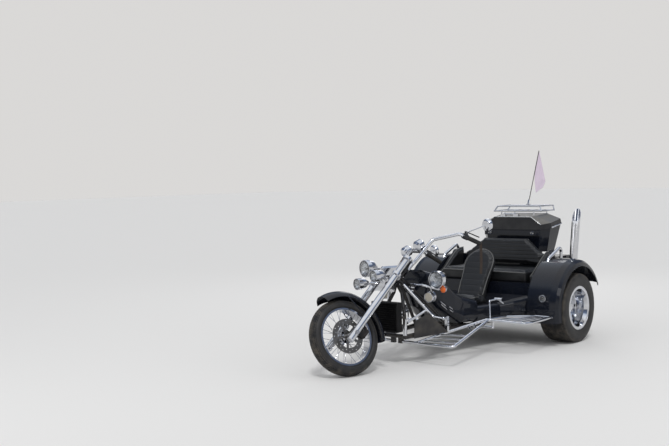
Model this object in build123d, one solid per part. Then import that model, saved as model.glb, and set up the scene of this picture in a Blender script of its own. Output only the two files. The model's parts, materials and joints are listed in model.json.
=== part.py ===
from build123d import *
import math
import os

os.makedirs("parts", exist_ok=True)

# Motorized trike: one raked, steered front wheel, two wide rear wheels, a driver's
# bucket seat, a passenger bench and a hinged trunk. Millimetres.
# +X is the trike's left, +Y points rearwards and +Z is up. While the pieces are made,
# y = 0 is the front axle with the steering straight and z = 0 is the ground.

# Driving dimensions: wheels
WHEELBASE = 2446.0
REAR_TRACK_HALF = 728.0
FRONT_TYRE_R = 320.0
FRONT_TYRE_WIDTH = 130.0
FRONT_BEAD_R = 231.7
FRONT_BEAD_HALF = 43.0
FRONT_FLANGE_R = 243.0
REAR_TYRE_R = 331.0
REAR_TYRE_WIDTH = 280.0
REAR_BEAD_R = 191.7
REAR_BEAD_HALF = 122.0
REAR_FLANGE_R = 207.0
REAR_SHOULDER_HALF = 126.0
REAR_DISH_DEPTH = 118.0
RIM_WALL = 4.0
FLANGE_WALL = 5.0

# Driving dimensions: steering and fork. The fork is drawn straight ahead in its own
# frame (x left, v rearwards, s up along the steering axis) and then turned.
RAKE = 53.5
FORK_OFFSET = 80.0
STEER_AT_REST = -25.0
LEG_HALF = 175.0
LEG_R = 30.0
LEG_TOP = 930.0
LEG_BOTTOM = -85.0
AXLE_R = 10.0
STEM_R = 16.0
YOKE_LOWER = 690.0
YOKE_UPPER = 892.0
YOKE_THICK = 28.0
RUNNING_GAP = 0.3
WELD_BEAD = 1.0

# Driving dimensions: body
BODY_HALF = 560.0
BODY_WALL = 6.0
FENDER_R = 470.0
FENDER_LIP_R = 405.0
FENDER_OUTER = 878.0
FENDER_WALL = 6.0
BENCH_BASE = 585.0
DECK_Z = 800.0
SOFT_GAP = 0.3


# A bar's seam is turned away from the planes where other pieces meet it
ROD_SEAM = 37.0


def rod(start, end, radius):
    """A round bar between two points."""
    start = Vector(*start)
    end = Vector(*end)
    along = end - start
    bar = Cylinder(radius, along.length, align=(Align.CENTER, Align.CENTER, Align.MIN))
    return Plane(origin=start, z_dir=along) * Rot(0, 0, ROD_SEAM) * bar


def bent_bar(points, radius, bend):
    """A round bar along straight runs joined by arcs."""
    path = FilletPolyline(*[Vector(*p) for p in points], radius=bend)
    start = Plane(origin=path @ 0, z_dir=path % 0)
    return sweep(start * Circle(radius), path=path)


def weld(point, radius):
    """A ball that joins rods at a corner, standing proud of them like a bead of weld."""
    return Pos(*point) * Sphere(radius + WELD_BEAD)


def block(low, high):
    """A box between its lowest and highest corners."""
    size = [b - a for a, b in zip(low, high)]
    middle = [(a + b) / 2 for a, b in zip(low, high)]
    return Pos(*middle) * Box(*size)


def turned(points, start=0.0, arc=360.0):
    """A solid of revolution about the X axis from an (x, radius) outline."""
    face = make_face(Polyline(*points, close=True))
    return Rot(start, 0, 0) * revolve(face, axis=Axis.X, revolution_arc=arc)


def mirrored(shape):
    """The same piece on the trike's other side."""
    return mirror(shape, about=Plane.YZ)


def fuse(*shapes):
    return shapes[0] + list(shapes[1:])


def both_sides(shape):
    """One node of two like pieces, left and right."""
    return shape + mirrored(shape)


# The leaned front tyre just touches the ground, so its crown sets the height of the
# steering pivot.
CROWN_R = FRONT_TYRE_WIDTH / 2
rake = math.radians(RAKE)
steer = math.radians(STEER_AT_REST)
lean = math.asin(abs(math.sin(steer)) * math.sin(rake))
AXLE_HEIGHT = (FRONT_TYRE_R - CROWN_R) * math.cos(lean) + CROWN_R
PIVOT_Z = AXLE_HEIGHT - FORK_OFFSET * math.cos(steer) * math.sin(rake)
PIVOT_Y = FORK_OFFSET * math.cos(rake)
HEAD_FRAME = Pos(0, PIVOT_Y, PIVOT_Z) * Rot(-RAKE, 0, 0)
FORK_FRAME = HEAD_FRAME * Rot(0, 0, STEER_AT_REST)
WHEEL_FRAME = FORK_FRAME * Pos(0, -FORK_OFFSET, 0)

nodes = {}

# Front wheel, drawn about its axle along X
HUB_R = 34.0
HUB_HALF = 62.0
HUB_FLANGE_R = 58.0
HUB_FLANGE_X = 40.0
SPOKE_R = 2.2
SPOKE_COUNT = 32
SPOKE_CROSS = 24.0
DISC_R = 145.0
DISC_INNER_R = 100.0
DISC_WALL = 5.0
DISC_HOLE_R = 5.0
DISC_HOLES = 24


def front_tyre():
    half = FRONT_TYRE_WIDTH / 2
    shoulder = FRONT_TYRE_R - CROWN_R
    bead_top = FRONT_FLANGE_R + 2
    crown = ThreePointArc((-half, shoulder), (0, FRONT_TYRE_R), (half, shoulder))
    sides = Polyline(
        (half, shoulder),
        (FRONT_BEAD_HALF, bead_top),
        (FRONT_BEAD_HALF, FRONT_BEAD_R),
        (-FRONT_BEAD_HALF, FRONT_BEAD_R),
        (-FRONT_BEAD_HALF, bead_top),
        (-half, shoulder),
    )
    return revolve(make_face([crown, sides]), axis=Axis.X)


def front_rim():
    seat = FRONT_BEAD_R - RUNNING_GAP
    inner = FRONT_BEAD_HALF + RUNNING_GAP
    outer = inner + FLANGE_WALL
    rim = turned([
        (-outer, FRONT_FLANGE_R), (-inner, FRONT_FLANGE_R), (-inner, seat),
        (inner, seat), (inner, FRONT_FLANGE_R), (outer, FRONT_FLANGE_R),
        (outer, seat - RIM_WALL), (-outer, seat - RIM_WALL),
    ])
    hub = Rot(0, 90, 0) * Cylinder(HUB_R, 2 * HUB_HALF)
    for side in (-1, 1):
        hub += Pos(side * HUB_FLANGE_X, 0, 0) * Rot(0, 90, 0) * Cylinder(HUB_FLANGE_R, 6)
    hub -= Rot(0, 90, 0) * Cylinder(AXLE_R + RUNNING_GAP, 3 * HUB_HALF)
    spokes = []
    for index in range(SPOKE_COUNT):
        side = 1 if index % 2 else -1
        lead = SPOKE_CROSS if index % 4 < 2 else -SPOKE_CROSS
        foot = math.radians(index * 360 / SPOKE_COUNT)
        head = foot + math.radians(lead)
        foot_r = HUB_FLANGE_R - 4
        head_r = seat - RIM_WALL + 1
        start = (side * HUB_FLANGE_X, foot_r * math.cos(foot), foot_r * math.sin(foot))
        end = (side * 8, head_r * math.cos(head), head_r * math.sin(head))
        spokes.append(rod(start, end, SPOKE_R))
    return fuse(rim, hub, *spokes)


def front_disc():
    ring = Rot(0, 90, 0) * Cylinder(DISC_R, DISC_WALL)
    ring -= Rot(0, 90, 0) * Cylinder(DISC_INNER_R, 2 * DISC_WALL)
    carrier = Rot(0, 90, 0) * Cylinder(HUB_R + 6, DISC_WALL)
    for turn in range(5):
        arm = block((-DISC_WALL / 2, -10, HUB_R), (DISC_WALL / 2, 10, DISC_INNER_R + 3))
        carrier += Rot(turn * 72, 0, 0) * arm
    disc = ring + carrier - Rot(0, 90, 0) * Cylinder(AXLE_R + RUNNING_GAP, 2 * DISC_WALL)
    middle = (DISC_R + DISC_INNER_R) / 2
    for hole in range(DISC_HOLES):
        radius = middle + (8 if hole % 2 else -8)
        disc -= (Rot(hole * 360 / DISC_HOLES, 0, 0) * Pos(0, 0, radius)
                 * Rot(0, 90, 0) * Cylinder(DISC_HOLE_R, 2 * DISC_WALL))
    return Pos(HUB_HALF + DISC_WALL / 2, 0, 0) * disc


nodes["front_tyre"] = WHEEL_FRAME * front_tyre()
nodes["front_rim"] = WHEEL_FRAME * front_rim()
nodes["front_brake_disc"] = WHEEL_FRAME * front_disc()

# Fork, in its own frame
AXLE_NUT_R = 17.0
AXLE_NUT_LENGTH = 14.0
SPACER_R = 18.0
YOKE_HUB_R = 46.0
YOKE_CLAMP_R = 44.0
BAR_R = 16.0
BAR_V = 20.0
BAR_FOOT = YOKE_UPPER + YOKE_THICK + 80.0
RISER_X = 55.0
RISER_R = 15.0
# Handlebar, left half: x, v, s
BAR_POINTS = [
    (75.0, BAR_V, BAR_FOOT),
    (175.0, 5.0, BAR_FOOT + 268.0),
    (270.0, 146.0, BAR_FOOT + 458.0),
    (298.0, 352.0, BAR_FOOT + 535.0),
]
BAR_BEND = 60.0
GRIP_R = 20.0
GRIP_LENGTH = 130.0


# Stays of the front fender meet a boss on each leg. Angle ahead of the leg, height along it.
STAYS = [(-38.0, 222.0), (14.0, 272.0)]
BOSS_R = 11.0
BOSS_X = LEG_HALF - LEG_R - 8.0


def fork_leg():
    leg = Cylinder(LEG_R, LEG_TOP - LEG_BOTTOM, align=(Align.CENTER, Align.CENTER, Align.MIN))
    leg = Pos(0, 0, LEG_BOTTOM) * leg
    leg = chamfer(leg.edges().filter_by(GeomType.CIRCLE), 6)
    leg -= Rot(0, 90, 0) * Cylinder(AXLE_R + RUNNING_GAP, 3 * LEG_R)
    leg = Pos(LEG_HALF, -FORK_OFFSET, 0) * leg
    for _, height in STAYS:
        leg += rod((BOSS_X, -FORK_OFFSET, height), (LEG_HALF, -FORK_OFFSET, height), BOSS_R)
    return leg


def front_axle():
    outer = LEG_HALF + LEG_R + RUNNING_GAP
    inner = LEG_HALF - LEG_R - RUNNING_GAP
    reach = outer + AXLE_NUT_LENGTH
    axle = Rot(0, 90, 0) * Cylinder(AXLE_R, 2 * reach)
    left_end = HUB_HALF + DISC_WALL + RUNNING_GAP
    right_end = HUB_HALF + RUNNING_GAP
    axle += rod((left_end, 0, 0), (inner, 0, 0), SPACER_R)
    axle += rod((-right_end, 0, 0), (-inner, 0, 0), SPACER_R)
    for side in (-1, 1):
        axle += rod((side * outer, 0, 0), (side * reach, 0, 0), AXLE_NUT_R)
    return Pos(0, -FORK_OFFSET, 0) * axle


def yoke_plate(low):
    half = Pos(0, 0, low) * Cylinder(YOKE_HUB_R, YOKE_THICK, align=(Align.CENTER, Align.CENTER, Align.MIN))
    outline = Polyline(
        (0, -YOKE_HUB_R - 20), (LEG_HALF, -FORK_OFFSET - YOKE_CLAMP_R),
        (LEG_HALF, -FORK_OFFSET + YOKE_CLAMP_R), (0, YOKE_HUB_R),
        (-LEG_HALF, -FORK_OFFSET + YOKE_CLAMP_R), (-LEG_HALF, -FORK_OFFSET - YOKE_CLAMP_R),
        close=True,
    )
    plate = half + Pos(0, 0, low) * extrude(make_face(outline), YOKE_THICK)
    for side in (-1, 1):
        place = Pos(side * LEG_HALF, -FORK_OFFSET, low)
        plate += place * Cylinder(YOKE_CLAMP_R, YOKE_THICK, align=(Align.CENTER, Align.CENTER, Align.MIN))
    for side in (-1, 1):
        place = Pos(side * LEG_HALF, -FORK_OFFSET, low)
        plate -= place * Cylinder(LEG_R + RUNNING_GAP, 4 * YOKE_THICK)
    return plate


def fork_yokes():
    stem = rod((0, 0, YOKE_LOWER), (0, 0, YOKE_UPPER + YOKE_THICK), STEM_R)
    return fuse(yoke_plate(YOKE_LOWER), yoke_plate(YOKE_UPPER), stem)


FRONT_FENDER_R = 394.0
FRONT_FENDER_HALF = 88.0
FRONT_FENDER_DROP = 62.0
FRONT_FENDER_WALL = 3.0
FRONT_FENDER_LEAD = 74.0
FRONT_FENDER_TAIL = 51.0
FENDER_STAY_R = 6.0


def front_fender():
    top = FRONT_FENDER_R
    edge = FRONT_FENDER_R - FRONT_FENDER_DROP
    half = FRONT_FENDER_HALF
    wall = FRONT_FENDER_WALL
    outer = ThreePointArc((-half, edge), (0, top), (half, edge))
    inner = ThreePointArc((half - wall, edge), (0, top - wall), (-half + wall, edge))
    left = Line((half, edge), (half - wall, edge))
    right = Line((-half + wall, edge), (-half, edge))
    face = make_face([outer, left, inner, right])
    # The profile lies on +Y, which turns to the steering axis at 90 degrees.
    arc = FRONT_FENDER_LEAD + FRONT_FENDER_TAIL
    shell = Rot(90 - FRONT_FENDER_TAIL, 0, 0) * revolve(face, axis=Axis.X, revolution_arc=arc)
    for angle, height in STAYS:
        tip = math.radians(angle)
        hem = ((half - wall / 2), (edge + 1) * math.sin(tip), (edge + 1) * math.cos(tip))
        elbow = (BOSS_X - 2 * FENDER_STAY_R, 0, height)
        stay = rod(hem, elbow, FENDER_STAY_R) + rod(elbow, (BOSS_X, 0, height), FENDER_STAY_R)
        stay += weld(elbow, FENDER_STAY_R)
        shell += both_sides(stay)
    return Pos(0, -FORK_OFFSET, 0) * shell


def handlebar():
    left = BAR_POINTS
    right = [(-x, v, s) for x, v, s in reversed(BAR_POINTS)]
    bar = bent_bar(left[::-1] + right[::-1], BAR_R, BAR_BEND)
    for side in (-1, 1):
        low = (side * RISER_X, BAR_V, YOKE_UPPER + YOKE_THICK)
        high = (side * RISER_X, BAR_V, BAR_POINTS[0][2] + BAR_R / 2)
        bar += rod(low, high, RISER_R)
    return bar


def bar_end_point(back):
    """A point on the left grip's centre line, a distance back from its end."""
    end = Vector(*BAR_POINTS[3])
    along = (end - Vector(*BAR_POINTS[2])).normalized()
    return end - along * back


def grip():
    end = bar_end_point(-4)
    start = bar_end_point(GRIP_LENGTH)
    sleeve = rod(start, end, GRIP_R)
    return sleeve - rod(start, bar_end_point(-RUNNING_GAP), BAR_R + RUNNING_GAP)


CONTROL_LENGTH = 52.0
CONTROL_R = 25.0
LEVER_R = 5.0
LEVER_OFFSET = Vector(10.0, -30.0, 36.0)
PERCH_TOP = 40.0
MIRROR_STEM_R = 5.0


def hand_control():
    start = bar_end_point(GRIP_LENGTH + RUNNING_GAP)
    end = bar_end_point(GRIP_LENGTH + CONTROL_LENGTH)
    body = rod(start, end, CONTROL_R)
    pivot = bar_end_point(GRIP_LENGTH + CONTROL_LENGTH / 2)
    body += rod(pivot, pivot + LEVER_OFFSET, 9)
    tip = bar_end_point(10) + LEVER_OFFSET * 1.1
    body += rod(pivot + LEVER_OFFSET, tip, LEVER_R)
    body += rod(pivot, pivot + Vector(0, 0, PERCH_TOP), MIRROR_STEM_R * 2)
    return body - rod(bar_end_point(GRIP_LENGTH - 10), bar_end_point(GRIP_LENGTH + 90), BAR_R + RUNNING_GAP)


MIRROR_CENTRE = (400.0, 270.0, BAR_FOOT + 655.0)
MIRROR_R = 58.0
MIRROR_DEPTH = 34.0


def fork_mirror():
    straight_back = Vector(0, math.cos(rake), math.sin(rake))
    centre = Vector(*MIRROR_CENTRE)
    head = Plane(origin=centre, z_dir=straight_back) * Cylinder(MIRROR_R, MIRROR_DEPTH)
    rim_edges = head.edges().filter_by(GeomType.CIRCLE).sort_by(Axis.Z)
    head = fillet(rim_edges[0], MIRROR_DEPTH * 0.7)
    foot = bar_end_point(GRIP_LENGTH + CONTROL_LENGTH / 2) + Vector(0, 0, PERCH_TOP)
    elbow = Vector(foot.X, foot.Y, foot.Z + 30)
    stem = rod(foot, elbow, MIRROR_STEM_R) + weld(elbow, MIRROR_STEM_R)
    return head + stem + rod(elbow, centre - straight_back * 8, MIRROR_STEM_R)


GAUGE_X = 95.0
GAUGE_V = -47.0
GAUGE_S = BAR_FOOT + 165.0
GAUGE_R = 48.0
GAUGE_LENGTH = 70.0


def instruments():
    face_to_rider = Vector(0, 0.35, 0.94)
    bridge = block((-GAUGE_X, GAUGE_V - 8, GAUGE_S - 34), (GAUGE_X, GAUGE_V + 8, GAUGE_S - 20))
    for side in (-1, 1):
        place = Plane(origin=(side * GAUGE_X, GAUGE_V, GAUGE_S), z_dir=face_to_rider)
        cup = place * Cylinder(GAUGE_R, GAUGE_LENGTH)
        bridge += chamfer(cup.edges().filter_by(GeomType.CIRCLE).sort_by(Axis.Z)[0], 18)
        bridge += rod((side * 24, GAUGE_V, YOKE_UPPER + YOKE_THICK), (side * 24, GAUGE_V, GAUGE_S - 26), 7)
    return bridge


# Lamps: a bullet shell with its lens end forwards. Length, radius, nose radius.
def bullet_lamp(radius, length):
    """A lamp about the Y axis, its lens at -Y and its tapered back at +Y."""
    lip = radius * 0.88
    bowl = length * 0.22
    outline = Polyline((0, bowl - length / 2), (lip * 0.6, bowl * 0.7 - length / 2), (lip, -length / 2),
                       (radius, -length / 2), (radius, -length / 6), (radius * 0.8, length / 5),
                       (radius * 0.4, length / 2), (0, length / 2), close=True)
    return revolve(make_face(outline), axis=Axis.Y)


FORK_LAMP_S = 687.0
FORK_LAMP_V = -254.0
FORK_LAMP_R = 74.0
FORK_LAMP_LENGTH = 120.0
SMALL_LAMP_X = 130.0
SMALL_LAMP_V = -190.0
SMALL_LAMP_S = 605.0
SMALL_LAMP_R = 50.0
SMALL_LAMP_LENGTH = 118.0


def fork_lamps():
    level = Rot(RAKE, 0, 0)
    lamps = Pos(0, FORK_LAMP_V, FORK_LAMP_S) * level * bullet_lamp(FORK_LAMP_R, FORK_LAMP_LENGTH)
    for side in (-1, 1):
        place = Pos(side * SMALL_LAMP_X, SMALL_LAMP_V, SMALL_LAMP_S)
        lamps += place * level * bullet_lamp(SMALL_LAMP_R, SMALL_LAMP_LENGTH)
        lamps += rod((side * SMALL_LAMP_X, SMALL_LAMP_V, SMALL_LAMP_S),
                     (side * 60, -95, YOKE_LOWER - 14), 8)
    lamps += rod((0, FORK_LAMP_V, FORK_LAMP_S - 40), (0, -80, YOKE_LOWER - 14), 8)
    lamps += block((-90, -110, YOKE_LOWER - 14), (90, -40, YOKE_LOWER))
    return lamps


def caliper():
    # Behind the left leg, astride the disc
    reach = DISC_R - 28
    centre_x = HUB_HALF + DISC_WALL / 2
    body = block((centre_x - 24, 40, 70), (centre_x + 24, 110, 165))
    slot = block((centre_x - 5, 0, 0), (centre_x + 5, 130, 200))
    bridge = block((centre_x - 24, 110, 70), (centre_x + 24, 122, 165))
    inner = Rot(0, 90, 0) * Cylinder(DISC_R + 3, 200)
    bridge = bridge + block((centre_x - 24, 40, 150), (centre_x + 24, 122, 165)) - inner
    arm = block((centre_x + 10, 20, reach - 20), (LEG_HALF, 60, reach))
    leg = Pos(LEG_HALF, 0, 0) * Cylinder(LEG_R + RUNNING_GAP, 600)
    return Pos(0, -FORK_OFFSET, 0) * (body - slot + bridge + arm - leg)


left_control = hand_control()
left_grip = grip()
left_mirror = fork_mirror()
left_leg = fork_leg()
nodes["fork_leg_left"] = FORK_FRAME * left_leg
nodes["fork_leg_right"] = FORK_FRAME * mirrored(left_leg)
nodes["front_axle"] = FORK_FRAME * front_axle()
nodes["fork_yokes"] = FORK_FRAME * fork_yokes()
nodes["front_fender"] = FORK_FRAME * front_fender()
nodes["handlebar"] = FORK_FRAME * handlebar()
nodes["hand_grips"] = FORK_FRAME * both_sides(left_grip)
nodes["hand_controls"] = FORK_FRAME * both_sides(left_control)
nodes["mirrors"] = FORK_FRAME * both_sides(left_mirror)
nodes["instruments"] = FORK_FRAME * instruments()
nodes["fork_lamps"] = FORK_FRAME * fork_lamps()
nodes["front_brake_caliper"] = FORK_FRAME * caliper()


# Chassis frame: steering head, downtubes, spine tubes, lower rails and their cross members
HEAD_R = 36.0
HEAD_GAP = 3.0
HEAD_LOW = YOKE_LOWER + YOKE_THICK + HEAD_GAP
HEAD_HIGH = YOKE_UPPER - HEAD_GAP
RAIL_R = 22.0
RAIL_Z = 235.0
RAIL_FRONT_X = 120.0
RAIL_X = 225.0
RAIL_FRONT_Y = 645.0
RAIL_REAR_Y = WHEELBASE + 394.0
DOWN_TUBE_R = 16.0
DOWN_TUBE_Z = 420.0
SPINE_R = 16.0
CROSS_R = 18.0
BODY_Z = 262.0
SPINE_BEND = (100.0, 960.0, 520.0)
SPINE_FOOT = (192.0, 1240.0, RAIL_Z)
MOUNT_ROOT = RAIL_Z - 7.0
MOUNT_HALF = (14.0, 20.0)
BODY_MOUNTS = [1600.0, WHEELBASE - 446, WHEELBASE - 346, WHEELBASE + 254]
ENGINE_MOUNT_X = (70.0, 110.0)
ENGINE_MOUNT_HALF = 16.0
ENGINE_FRONT_Y = WHEELBASE + 144.0
ENGINE_SEAT_Y = ENGINE_FRONT_Y + 44.0
ENGINE_MOUNTS = [1500.0, ENGINE_SEAT_Y, RAIL_REAR_Y - 20]
BRACE_ROOT = HEAD_LOW + 63.0
BRACE_R = 14.0
LAMP_ARM_R = 9.0
LAMP_ARM_Y = 800.0
LAMP_ARM_Z = 676.0
LAMP_ARM_X = 75.0

# Lower rail on the left: x, y
RAIL_ROUTE = [
    (RAIL_FRONT_X, RAIL_FRONT_Y),
    (150.0, 900.0),
    (RAIL_X, 1500.0),
    (RAIL_X, WHEELBASE - 206),
    (RAIL_X, RAIL_REAR_Y),
]
# Cross members: y, half length
CROSS_MEMBERS = [
    (RAIL_FRONT_Y + 20, RAIL_FRONT_X),
    (1500.0, RAIL_X),
    (ENGINE_SEAT_Y, RAIL_X),
    (RAIL_REAR_Y - 20, RAIL_X),
]
PIVOT_TUBE_Y = WHEELBASE - 486.0
PIVOT_TUBE_X = 490.0

# Footboard carriers leave the rails at these stations: y, x of the lug's outer face
BOARD_LUGS = [(1500.0, 262.0), (1900.0, 262.0)]
FRONT_LUG_X = 60.0
FRONT_LUG_Y = 690.0
FRONT_LUG_Z = 184.0
FRONT_LUG_HALF = 15.0
FRONT_LUG_LENGTH = 40.0

# Chrome brace from the steering head down to the front footboard: points on its line
BRACE_JOINT = Vector(60.0, 684.0, 705.0)
BRACE_FOOT = Vector(250.0, 882.0, 395.0)
BRACE_STUB = 26.0
STRUT_LOW = Vector(122.0, 640.0, 345.0)
STRUT_HIGH = Vector(215.0, 830.0, 455.0)
STRUT_STUB = 30.0
STRUT_R = 11.0

# Splash panel beside the frame: outline along its own plane, t rearwards and z up
PANEL_PLANE = Plane(origin=(165.0, 712.0, 0.0), x_dir=(0.522, 0.853, 0.0), z_dir=(0.853, -0.522, 0.0))
PANEL_OUTLINE = [(0.0, 216.0), (326.0, 250.0), (142.0, 428.0), (6.0, 365.0)]
PANEL_WALL = 4.0

RADIATOR_HALF = 138.0
RADIATOR_LOW = 290.0
RADIATOR_HIGH = 545.0
RADIATOR_FRONT = 520.0
RADIATOR_DEPTH = 60.0
RADIATOR_BACK = RADIATOR_FRONT + RADIATOR_DEPTH
RADIATOR_LUGS = [330.0, 400.0]


def rail_point(x, y):
    return (x, y, RAIL_Z)


def frame_side():
    """The left half of the frame, as rods to be fused."""
    head_low = (HEAD_FRAME * Pos(0, 20, HEAD_LOW + 66)).position
    neck = (HEAD_FRAME * Pos(45, 105, HEAD_LOW + 26)).position
    head_high = (HEAD_FRAME * Pos(0, 0, HEAD_HIGH - 40)).position
    knee = (RAIL_FRONT_X, RAIL_FRONT_Y - 5, DOWN_TUBE_Z)
    pieces = [
        rod(head_low, neck, DOWN_TUBE_R),
        weld(neck, DOWN_TUBE_R),
        rod(neck, knee, DOWN_TUBE_R),
        weld(knee, DOWN_TUBE_R),
        rod(knee, rail_point(RAIL_FRONT_X, RAIL_FRONT_Y), DOWN_TUBE_R),
        rod(head_high, SPINE_BEND, SPINE_R),
        weld(SPINE_BEND, SPINE_R),
        rod(SPINE_BEND, SPINE_FOOT, SPINE_R),
    ]
    for start, end in zip(RAIL_ROUTE, RAIL_ROUTE[1:]):
        pieces.append(rod(rail_point(*start), rail_point(*end), RAIL_R))
        pieces.append(weld(rail_point(*start), RAIL_R))
    for y, face in BOARD_LUGS:
        pieces.append(rod(rail_point(RAIL_X, y), rail_point(face, y), CROSS_R))
    pieces.append(block((FRONT_LUG_X - FRONT_LUG_LENGTH, FRONT_LUG_Y - FRONT_LUG_HALF, FRONT_LUG_Z - FRONT_LUG_HALF),
                        (FRONT_LUG_X, FRONT_LUG_Y + FRONT_LUG_HALF, RAIL_Z)))
    along = (BRACE_FOOT - BRACE_JOINT).normalized()
    pieces.append(rod((HEAD_FRAME * Pos(0, 0, BRACE_ROOT)).position, BRACE_JOINT, BRACE_R))
    pieces.append(weld(BRACE_JOINT, BRACE_R))
    pieces.append(rod(BRACE_JOINT, BRACE_JOINT + along * BRACE_STUB, BRACE_R))
    up = (STRUT_HIGH - STRUT_LOW).normalized()
    pieces.append(rod(STRUT_LOW, STRUT_LOW + up * STRUT_STUB, STRUT_R))
    for z in RADIATOR_LUGS:
        pieces.append(block((RAIL_FRONT_X - 8, RADIATOR_BACK, z), (RAIL_FRONT_X + 8, RAIL_FRONT_Y - 8, z + 20)))
    pieces.append(PANEL_PLANE * block((20, 228, -60), (44, 243, 0)))
    pieces.append(PANEL_PLANE * block((230, 245, -150), (254, 255, 0)))
    pieces.append(rod(rail_point(RAIL_X, PIVOT_TUBE_Y), rail_point(PIVOT_TUBE_X, PIVOT_TUBE_Y), RAIL_R))
    pieces.append(block((PIVOT_TUBE_X - 40, PIVOT_TUBE_Y, RAIL_Z - 16),
                        (PIVOT_TUBE_X, PIVOT_TUBE_Y + 30, RAIL_Z + 16)))
    wide, long = MOUNT_HALF
    for y in BODY_MOUNTS:
        pieces.append(block((RAIL_X - wide, y - long, MOUNT_ROOT), (RAIL_X + wide, y + long, BODY_Z)))
    near, far = ENGINE_MOUNT_X
    for y in ENGINE_MOUNTS:
        pieces.append(block((near, y - ENGINE_MOUNT_HALF, MOUNT_ROOT), (far, y + ENGINE_MOUNT_HALF, ENGINE_LOW)))
    return pieces


def main_frame():
    left = frame_side()
    pieces = left + [mirrored(piece) for piece in left]
    for y, half in CROSS_MEMBERS:
        pieces.append(rod((-half, y, RAIL_Z), (half, y, RAIL_Z), CROSS_R))
    pieces.append(rod((-LAMP_ARM_X, LAMP_ARM_Y, LAMP_ARM_Z), (LAMP_ARM_X, LAMP_ARM_Y, LAMP_ARM_Z), LAMP_ARM_R))
    frame = HEAD_FRAME * rod((0, 0, HEAD_LOW), (0, 0, HEAD_HIGH), HEAD_R)
    for piece in pieces:
        frame += piece
    bore = rod((0, 0, HEAD_LOW - 20), (0, 0, HEAD_HIGH + 20), STEM_R + RUNNING_GAP)
    return frame - HEAD_FRAME * bore


# The bracket that ties the brace's foot to the footboard: x, y of its front face, z range
TIE_X = 305.0
TIE_Y = 1000.0
TIE_Z = 372.0
TIE_HALF = 13.0


def side_brace():
    along = (BRACE_FOOT - BRACE_JOINT).normalized()
    up = (STRUT_HIGH - STRUT_LOW).normalized()
    elbow = (TIE_X, TIE_Y - 40, TIE_Z)
    brace = rod(BRACE_JOINT + along * BRACE_STUB, BRACE_FOOT, BRACE_R)
    brace += weld(BRACE_FOOT, BRACE_R * 1.2)
    brace += rod(STRUT_LOW + up * STRUT_STUB, STRUT_HIGH, STRUT_R)
    brace += rod(BRACE_FOOT, elbow, BRACE_R * 0.5)
    brace += weld(elbow, BRACE_R)
    brace += rod(elbow, (TIE_X, TIE_Y, TIE_Z), BRACE_R * 0.5)
    return brace


def splash_panel():
    face = make_face(Polyline(*PANEL_OUTLINE, close=True))
    return PANEL_PLANE * extrude(face, PANEL_WALL)


def radiator():
    low = (-RADIATOR_HALF, RADIATOR_FRONT, RADIATOR_LOW)
    high = (RADIATOR_HALF, RADIATOR_BACK, RADIATOR_HIGH)
    return block(low, high)


# Side lamps on chrome arms: lens centre of the headlamp, the indicator and the horn
SIDE_LAMP = (310.0, 850.0, 722.0)
SIDE_LAMP_R = 76.0
SIDE_LAMP_LENGTH = 125.0
INDICATOR = (345.0, 905.0, 635.0)
INDICATOR_R = 27.0
INDICATOR_LENGTH = 60.0
HORN = (240.0, 865.0, 568.0)
HORN_R = 47.0
HORN_LENGTH = 60.0
HORN_HOOK = (245.0, 856.0, 654.0)


def side_lamp():
    x, y, z = SIDE_LAMP
    back = y + SIDE_LAMP_LENGTH / 2
    lamp = Pos(x, back, z) * bullet_lamp(SIDE_LAMP_R, SIDE_LAMP_LENGTH)
    elbow = (200, LAMP_ARM_Y, LAMP_ARM_Z)
    low = (x - 20, back, z - SIDE_LAMP_R - 14)
    lamp += rod((LAMP_ARM_X, LAMP_ARM_Y, LAMP_ARM_Z), elbow, LAMP_ARM_R)
    lamp += weld(elbow, LAMP_ARM_R)
    lamp += rod(elbow, low, LAMP_ARM_R) + weld(low, LAMP_ARM_R)
    lamp += rod(low, (x, back, z - SIDE_LAMP_R / 2), LAMP_ARM_R)
    stalk_end = (INDICATOR[0], INDICATOR[1] + INDICATOR_LENGTH / 2, INDICATOR[2])
    lamp += rod(low, stalk_end, 6)
    return lamp + Pos(*stalk_end) * bullet_lamp(INDICATOR_R, INDICATOR_LENGTH)


def horn():
    x, y, z = HORN
    back = y + HORN_LENGTH / 2
    bell = Pos(x, back, z) * bullet_lamp(HORN_R, HORN_LENGTH)
    return bell + rod((x, back, z), HORN_HOOK, LAMP_ARM_R * 0.7)

# Front body: rounded sections of the cowl and of the seat tub. y, half width, bottom, top
COWL_SECTIONS = [
    (970.0, 130.0, 565.0, 785.0),
    (1100.0, 205.0, 430.0, 745.0),
    (1235.0, 245.0, 335.0, 600.0),
    (1350.0, 268.0, 270.0, 525.0),
    (1540.0, 290.0, 270.0, 478.0),
]
TUB_TOP = 410.0
TUB_SECTIONS = [
    (1540.0, 290.0, BODY_Z, TUB_TOP),
    (WHEELBASE - 604, 350.0, BODY_Z, TUB_TOP),
    (WHEELBASE - 486, 430.0, BODY_Z, 432.0),
    (WHEELBASE - 394, BODY_HALF, BODY_Z, 470.0),
]
SECTION_CORNER = 0.28


def lofted(sections):
    faces = []
    for y, half, bottom, top in sections:
        corner = SECTION_CORNER * (top - bottom)
        plane = Plane(origin=(0, y, (bottom + top) / 2), x_dir=(1, 0, 0), z_dir=(0, -1, 0))
        faces.append(plane * RectangleRounded(2 * half, top - bottom, corner))
    return loft(faces, ruled=True)


# Driver's bucket seat
SEAT_HALF = 235.0
SEAT_FRONT_Y = 1560.0
SEAT_BACK_Y = 1828.0
SEAT_FRONT_Z = 495.0
SEAT_REAR_Z = 455.0
BACK_LEAN = 30.0
BACK_FOOT_Y = 1838.0
BACK_WALL = 55.0
BACK_FOOT_HALF = 150.0
BACK_HALF = 180.0
BACK_SHOULDER = 365.0
BACK_HEIGHT = 545.0


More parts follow.
